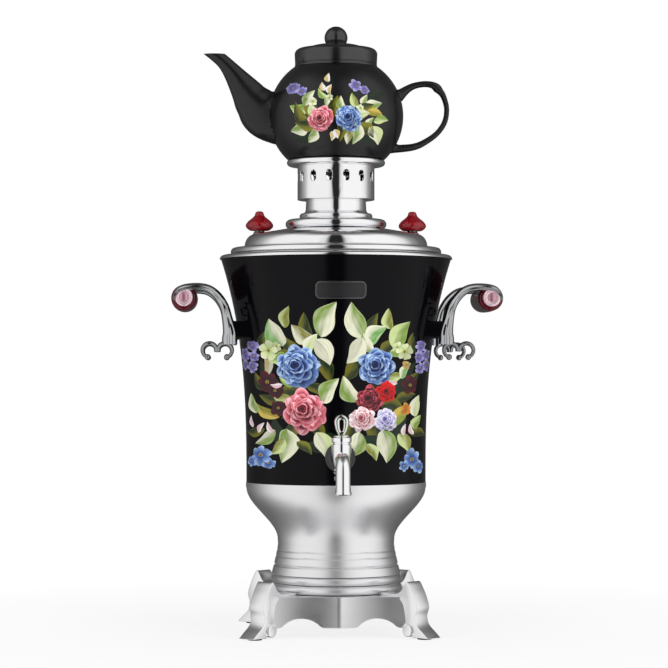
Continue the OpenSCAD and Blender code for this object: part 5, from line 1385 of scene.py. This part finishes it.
half_way = [(0.5 * (a[0] + b[0]), 0.5 * (a[1] + b[1]))
            for a, b in zip(panel_outline(), slot_outline(slot_rim))]
bm = skin(bmesh.new(), [[on_drum(x, y) for x, y in loop] for loop in (
    panel_outline(), half_way, slot_outline(slot_rim), slot_outline(0))])
bmesh.ops.rotate(bm, verts=bm.verts, matrix=Matrix.Rotation(math.pi / slot_count, 3, "Z"))
around(bm, slot_count)
bmesh.ops.remove_doubles(bm, verts=bm.verts, dist=2e-6)
bmesh.ops.recalc_face_normals(bm, faces=bm.faces)
drum = dress("pierced_drum", bm, chrome, "crown", ["crown_drum"])
thicken(drum, sheet)
ease_edges(drum, 0.0003, 2, 50)
collar_r = neck_bore_r - 0.0005
drum_in_r = drum_r - 0.0008
fold_h = 0.0015
bm = turned(rounded([(collar_r - sheet, drum_low.z, 0), (collar_r, drum_low.z, 0.0004),
                     (collar_r, drum_foot_z, 0), (drum_in_r, drum_foot_z, 0.0004),
                     (drum_in_r, drum_foot_z + fold_h, 0),
                     (collar_r - sheet, drum_foot_z + fold_h, 0)]), turns=128)
dress("drum_collar", bm, chrome, "crown")
flange_edge = (flange_high.z - flange_low.z) / 2
flange_r = flange_high.x
flange_in_r = drum_r - 0.006
bm = turned([(flange_in_r, flange_low.z - fold_h), (drum_in_r, flange_low.z - fold_h),
             (drum_in_r, flange_low.z)]
            + bead(flange_r - flange_edge, flange_low.z + flange_edge, flange_edge, steps=14)
            + [(flange_in_r, flange_high.z)], turns=160)
dress("rolled_flange", bm, chrome, "crown", ["crown_flange"])

# ---- Teapot ----
# Slip-cast stoneware under a gloss black glaze. The spout and the handle are shaped apart and
# luted on to the belly, and the seams are sponged smooth before the first firing.
glaze = finish("black_glaze", (0.005, 0.005, 0.006), 0.24, grain=(90, 90, 90), relief=3e-5,
               patchy=0.25, dirt=0.0, Specular_IOR_Level=0.42)
pot_low, pot_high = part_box("teapot_body")
pot_z = pot_low.z
mouth_z = pot_high.z
belly_r = pot_high.y
belly_arc_r = 0.0568
belly_arc_x = belly_r - belly_arc_r
belly_z = pot_z + 0.041
pot_wall = 0.004


def belly_at(z, inset=0.0):
    """The belly's radius at a height."""
    return belly_arc_x + math.sqrt((belly_arc_r - inset) ** 2 - (z - belly_z) ** 2)


mouth_r = belly_at(mouth_z) - 0.006


def horn(stations, sides=32):
    """A closed horn along (x, z, half height, half width) stations in the XZ plane."""
    line = curve_through(stations, 6)
    return swept(bmesh.new(), [(x, z) for x, z, _, _ in line],
                 [oval(high, wide, sides) for _, _, high, wide in line])


def as_object(name, bm):
    """bm as an object that only the shaping of the pot needs."""
    mesh = bpy.data.meshes.new(name)
    bm.to_mesh(mesh)
    bm.free()
    made = bpy.data.objects.new(name, mesh)
    scene.collection.objects.link(made)
    return made


def settle(target):
    """Makes the modifiers' result the object's own mesh."""
    bpy.context.view_layer.update()
    graph = bpy.context.evaluated_depsgraph_get()
    result = bpy.data.meshes.new_from_object(target.evaluated_get(graph))
    target.modifiers.clear()
    target.data = result


def carve(target, tool, operation):
    """Joins tool to target or cuts it away, and then throws tool away."""
    cut = target.modifiers.new("carve", "BOOLEAN")
    cut.operation = operation
    cut.solver = "EXACT"
    cut.object = tool
    settle(target)
    bpy.data.objects.remove(tool)


spout_tip_z = belly_z + 0.0588
spout_line = [
    (-belly_r + 0.024, belly_z - 0.003, 0.028, 0.020),
    (-belly_r - 0.002, belly_z + 0.002, 0.0245, 0.017),
    (-belly_r - 0.014, belly_z + 0.013, 0.019, 0.0135),
    (-belly_r - 0.021, belly_z + 0.023, 0.0152, 0.011),
    (-belly_r - 0.0285, belly_z + 0.0335, 0.0116, 0.0092),
    (-belly_r - 0.036, belly_z + 0.0435, 0.0086, 0.0074),
    (-belly_r - 0.043, belly_z + 0.0515, 0.0069, 0.0064),
    (-belly_r - 0.0515, belly_z + 0.0587, 0.0064, 0.006),
    (-belly_r - 0.061, belly_z + 0.066, 0.0064, 0.006)]
spout = as_object("spout", horn(spout_line))
pot_handle = as_object("pot_handle", horn([
    (belly_r - 0.012, belly_z + 0.013, 0.0085, 0.0075),
    (belly_r + 0.001, belly_z + 0.024, 0.0044, 0.0055),
    (belly_r + 0.010, belly_z + 0.0293, 0.0032, 0.005),
    (belly_r + 0.021, belly_z + 0.0313, 0.0030, 0.005),
    (belly_r + 0.0290, belly_z + 0.0300, 0.0034, 0.005),
    (belly_r + 0.0325, belly_z + 0.0272, 0.0044, 0.005),
    (belly_r + 0.0355, belly_z + 0.0240, 0.0034, 0.005),
    (belly_r + 0.0385, belly_z + 0.0195, 0.0028, 0.005),
    (belly_r + 0.0415, belly_z + 0.0085, 0.0025, 0.005),
    (belly_r + 0.040, belly_z - 0.004, 0.0026, 0.005),
    (belly_r + 0.0335, belly_z - 0.0145, 0.0027, 0.005),
    (belly_r + 0.0235, belly_z - 0.0225, 0.0029, 0.005),
    (belly_r + 0.010, belly_z - 0.0288, 0.0034, 0.0055),
    (belly_r - 0.012, belly_z - 0.031, 0.004, 0.006)]))
belly_line = [(belly_at(z), z) for z in (pot_z + (mouth_z - pot_z) * k / 60 for k in range(61))]
pot = as_object("pot", turned([(0, pot_z)] + belly_line + [(0, mouth_z)], closed=False,
                              turns=160))
carve(pot, spout, "UNION")
carve(pot, pot_handle, "UNION")
clay = pot.modifiers.new("clay", "REMESH")
clay.mode = "VOXEL"
clay.voxel_size = 0.0009
clay.use_smooth_shade = True
sponge = pot.modifiers.new("sponge", "SMOOTH")
sponge.factor = 0.5
sponge.iterations = 14
settle(pot)

# The sponged clay goes back to the true round of the belly, away from the luted seams
seam_out = 0.0012
bm = bmesh.new()
bm.from_mesh(pot.data)
bmesh.ops.bisect_plane(bm, geom=bm.verts[:] + bm.edges[:] + bm.faces[:],
                       plane_co=(0, 0, spout_tip_z), plane_no=(0, 0, 1), clear_outer=True)
bmesh.ops.holes_fill(bm, edges=[e for e in bm.edges if len(e.link_faces) == 1], sides=0)
for v in bm.verts:
    flat = Vector((v.co.x, v.co.y))
    true_r = belly_at(max(pot_z, min(mouth_z, v.co.z)))
    off = abs(flat.length - true_r)
    if off < seam_out and pot_z < v.co.z < mouth_z:
        v.co.x *= true_r / flat.length
        v.co.y *= true_r / flat.length
bm.to_mesh(pot.data)
bm.free()
floor_z = pot_z + pot_wall
cavity = [(0, floor_z)]
cavity += [(belly_at(z, pot_wall), z)
           for z in (floor_z + (mouth_z - 0.004 - floor_z) * k / 40 for k in range(41))]
cavity += [(mouth_r, mouth_z - 0.003), (mouth_r, mouth_z + 0.01), (0, mouth_z + 0.01)]
carve(pot, as_object("cavity", turned(cavity, closed=False, turns=96)), "DIFFERENCE")
spout_bore_r = 0.004
bore_line = [(x, z, spout_bore_r, spout_bore_r) for x, z, _, _ in spout_line[-4:]]
carve(pot, as_object("spout_bore", horn(bore_line, 24)), "DIFFERENCE")
recess_r = 0.8 * belly_at(pot_z)
recess_z = pot_z + 0.0012
recess = rounded([(0, pot_z - 0.005, 0), (recess_r, pot_z - 0.005, 0),
                  (recess_r, recess_z, 0.0006), (0, recess_z, 0)])
carve(pot, as_object("recess", turned(recess, closed=False, turns=96)), "DIFFERENCE")
bm = bmesh.new()
bm.from_mesh(pot.data)
bpy.data.objects.remove(pot)
dress("glazed_teapot", bm, glaze, "teapot",
      ["teapot_body", "teapot_spout", "teapot_handle"], crease=50)

# ---- Teapot flowers ----
# A small posy of the same roses, violets and leaves, painted on the belly over the glaze and
# fired once more. Its paint is as thick as the vessel's.
posy_growth = 1.12


def posy_leaves(p):
    """The leaves of the posy, as (x, z, length, breadth, lean, middle, rim)."""
    for leaf in (
        (-10, 497, 26, 7, 95, dark_green, dark_green * 2),
        (14, 500, 24, 8, 70, dark_green, dark_green * 2),
        (36, 500, 24, 9, 40, dark_green, dark_green * 2), (-34, 482, 28, 10, 120, dark_green, olive),
        (-26, 491, 20, 11, 130, dark_green * 2, olive), (-4, 492, 18, 9, 80, dark_green * 2, olive),
        (24, 488, 20, 11, 40, dark_green * 2, olive), (26, 470, 20, 10, 330, dark_green * 2, olive),
        (-30, 476, 20, 11, 180, dark_green * 2, olive), (2, 468, 16, 8, 270, dark_green * 2, olive),
        (-30, 464, 26, 9, 190, dark_green, dark_green * 2),
        (22, 462, 30, 9, 350, dark_green, dark_green * 2),
        (-37, 490, 17, 10, 165, green, pale_green), (-36, 472, 17, 11, 200, green, cream),
        (-28, 500, 15, 8, 60, green, cream), (32, 492, 18, 10, 30, green, cream),
        (34, 486, 15, 7, 350, olive, yellow), (35, 466, 18, 11, 310, pale_green, cream),
        (17, 466, 17, 10, 260, green, cream), (14, 497, 13, 7, 110, olive, pale_green),
        (24, 497, 12, 6, 70, green, cream), (28, 476, 13, 6, 60, green, cream),
        (-10, 497, 14, 5, 80, green, cream), (-16, 503, 12, 5, 130, green, pale_green),
        (-24, 488, 14, 8, 120, pale_green, cream), (2, 494, 13, 7, 100, green, cream),
        (22, 484, 13, 8, 20, pale_green, cream), (-24, 464, 13, 8, 230, green, cream),
        (8, 464, 13, 8, 280, olive, cream), (40, 480, 13, 7, 10, green, pale_green),
    ):
        p.leaf(*leaf[:2], posy_growth * leaf[2], posy_growth * leaf[3], *leaf[4:])


def posy_sprays(p):
    """The violets and the white buds of the posy."""
    for x, z, r in ((-42, 510, 6.0), (-34, 506, 4.6), (16, 511, 6.0), (24, 507, 4.6)):
        p.blossom(x, z, r, violet, mauve, lilac)
    for x, z, r in ((-9, 499, 3.4), (-24, 496, 3.8), (20, 490, 3.6)):
        p.blossom(x, z, r, olive, pale_green, white)
    for x, z, lean in ((-10, 519, 90), (-9, 508, 70), (-15, 510, 110), (-6, 464, 265), (-2, 466, 290)):
        p.leaf(x, z, 9, 5.5, lean, yellow, white)


def posy_roses(p):
    """The two roses of the posy."""
    p.rose(-17.0, 479.5, 12.0, crimson, rose_pink, shell_pink)
    p.rose(9.5, 480.5, 12.5, navy, royal, ice, 1)


paint_both_sides("posy", belly_at, (
    ("leaves", posy_leaves, 0), ("sprays", posy_sprays, 11), ("roses", posy_roses, 20)), "teapot")

# ---- Teapot lid ----
# Thrown separately in the same clay and glaze: a plug that drops in the mouth, a deep rounded cap
# and a ball to lift it by.
cap_low, cap_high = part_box("teapot_lid")
cap_z = mouth_z + 0.0002
cap_r = cap_high.x
cap_side = 0.018
cap_dome = 0.0055
cap_shoulder = 0.0055
cap_groove_z = 0.0027
cap_groove_depth = 0.0009
lid_plug_r = mouth_r - 0.0005
lid_plug_in_r = lid_plug_r - 0.004
ball_r = 0.011
ball_sink = 0.006
ball_start = -math.degrees(math.asin(1 - ball_sink / ball_r))
top_z = cap_side + cap_dome
cap_points = rounded([(lid_plug_in_r, cap_low.z - cap_z, 0.001),
                      (lid_plug_r, cap_low.z - cap_z, 0.001), (lid_plug_r, 0, 0),
                      (cap_r, 0, 0.0006), (cap_r, cap_groove_z - cap_groove_depth, 0.0008),
                      (cap_r - cap_groove_depth, cap_groove_z, 0.0008),
                      (cap_r, 0.0038, 0.0008)])
cap_points += bead(cap_r - cap_shoulder, cap_side - cap_shoulder, cap_shoulder, 0, 72, 10)
cap_points += curve_through([(cap_r - 0.012, cap_side + 0.0012),
                             (cap_r - 0.020, cap_side + 0.0034),
                             (ball_r + 0.004, top_z - 0.002),
                             (ball_r + 0.0002, top_z - 0.0006)], 5)
cap_points += bead(0, top_z + ball_r - ball_sink, ball_r, ball_start, 90, 20)
cap_points += [(0, top_z - 0.004), (ball_r, top_z - 0.006), (cap_r - 0.014, cap_side - 0.003),
               (lid_plug_in_r, cap_side - 0.007)]
bm = turned([(max(0.0, r), cap_z + z) for r, z in cap_points], turns=160)
cap_glaze = finish("cap_glaze", (0.006, 0.006, 0.007), 0.17, grain=(90, 90, 90), relief=3e-5,
                   patchy=0.4, dirt=0.0, Specular_IOR_Level=0.85)
dress("glazed_cap", bm, cap_glaze, "teapot_lid", ["teapot_lid"])
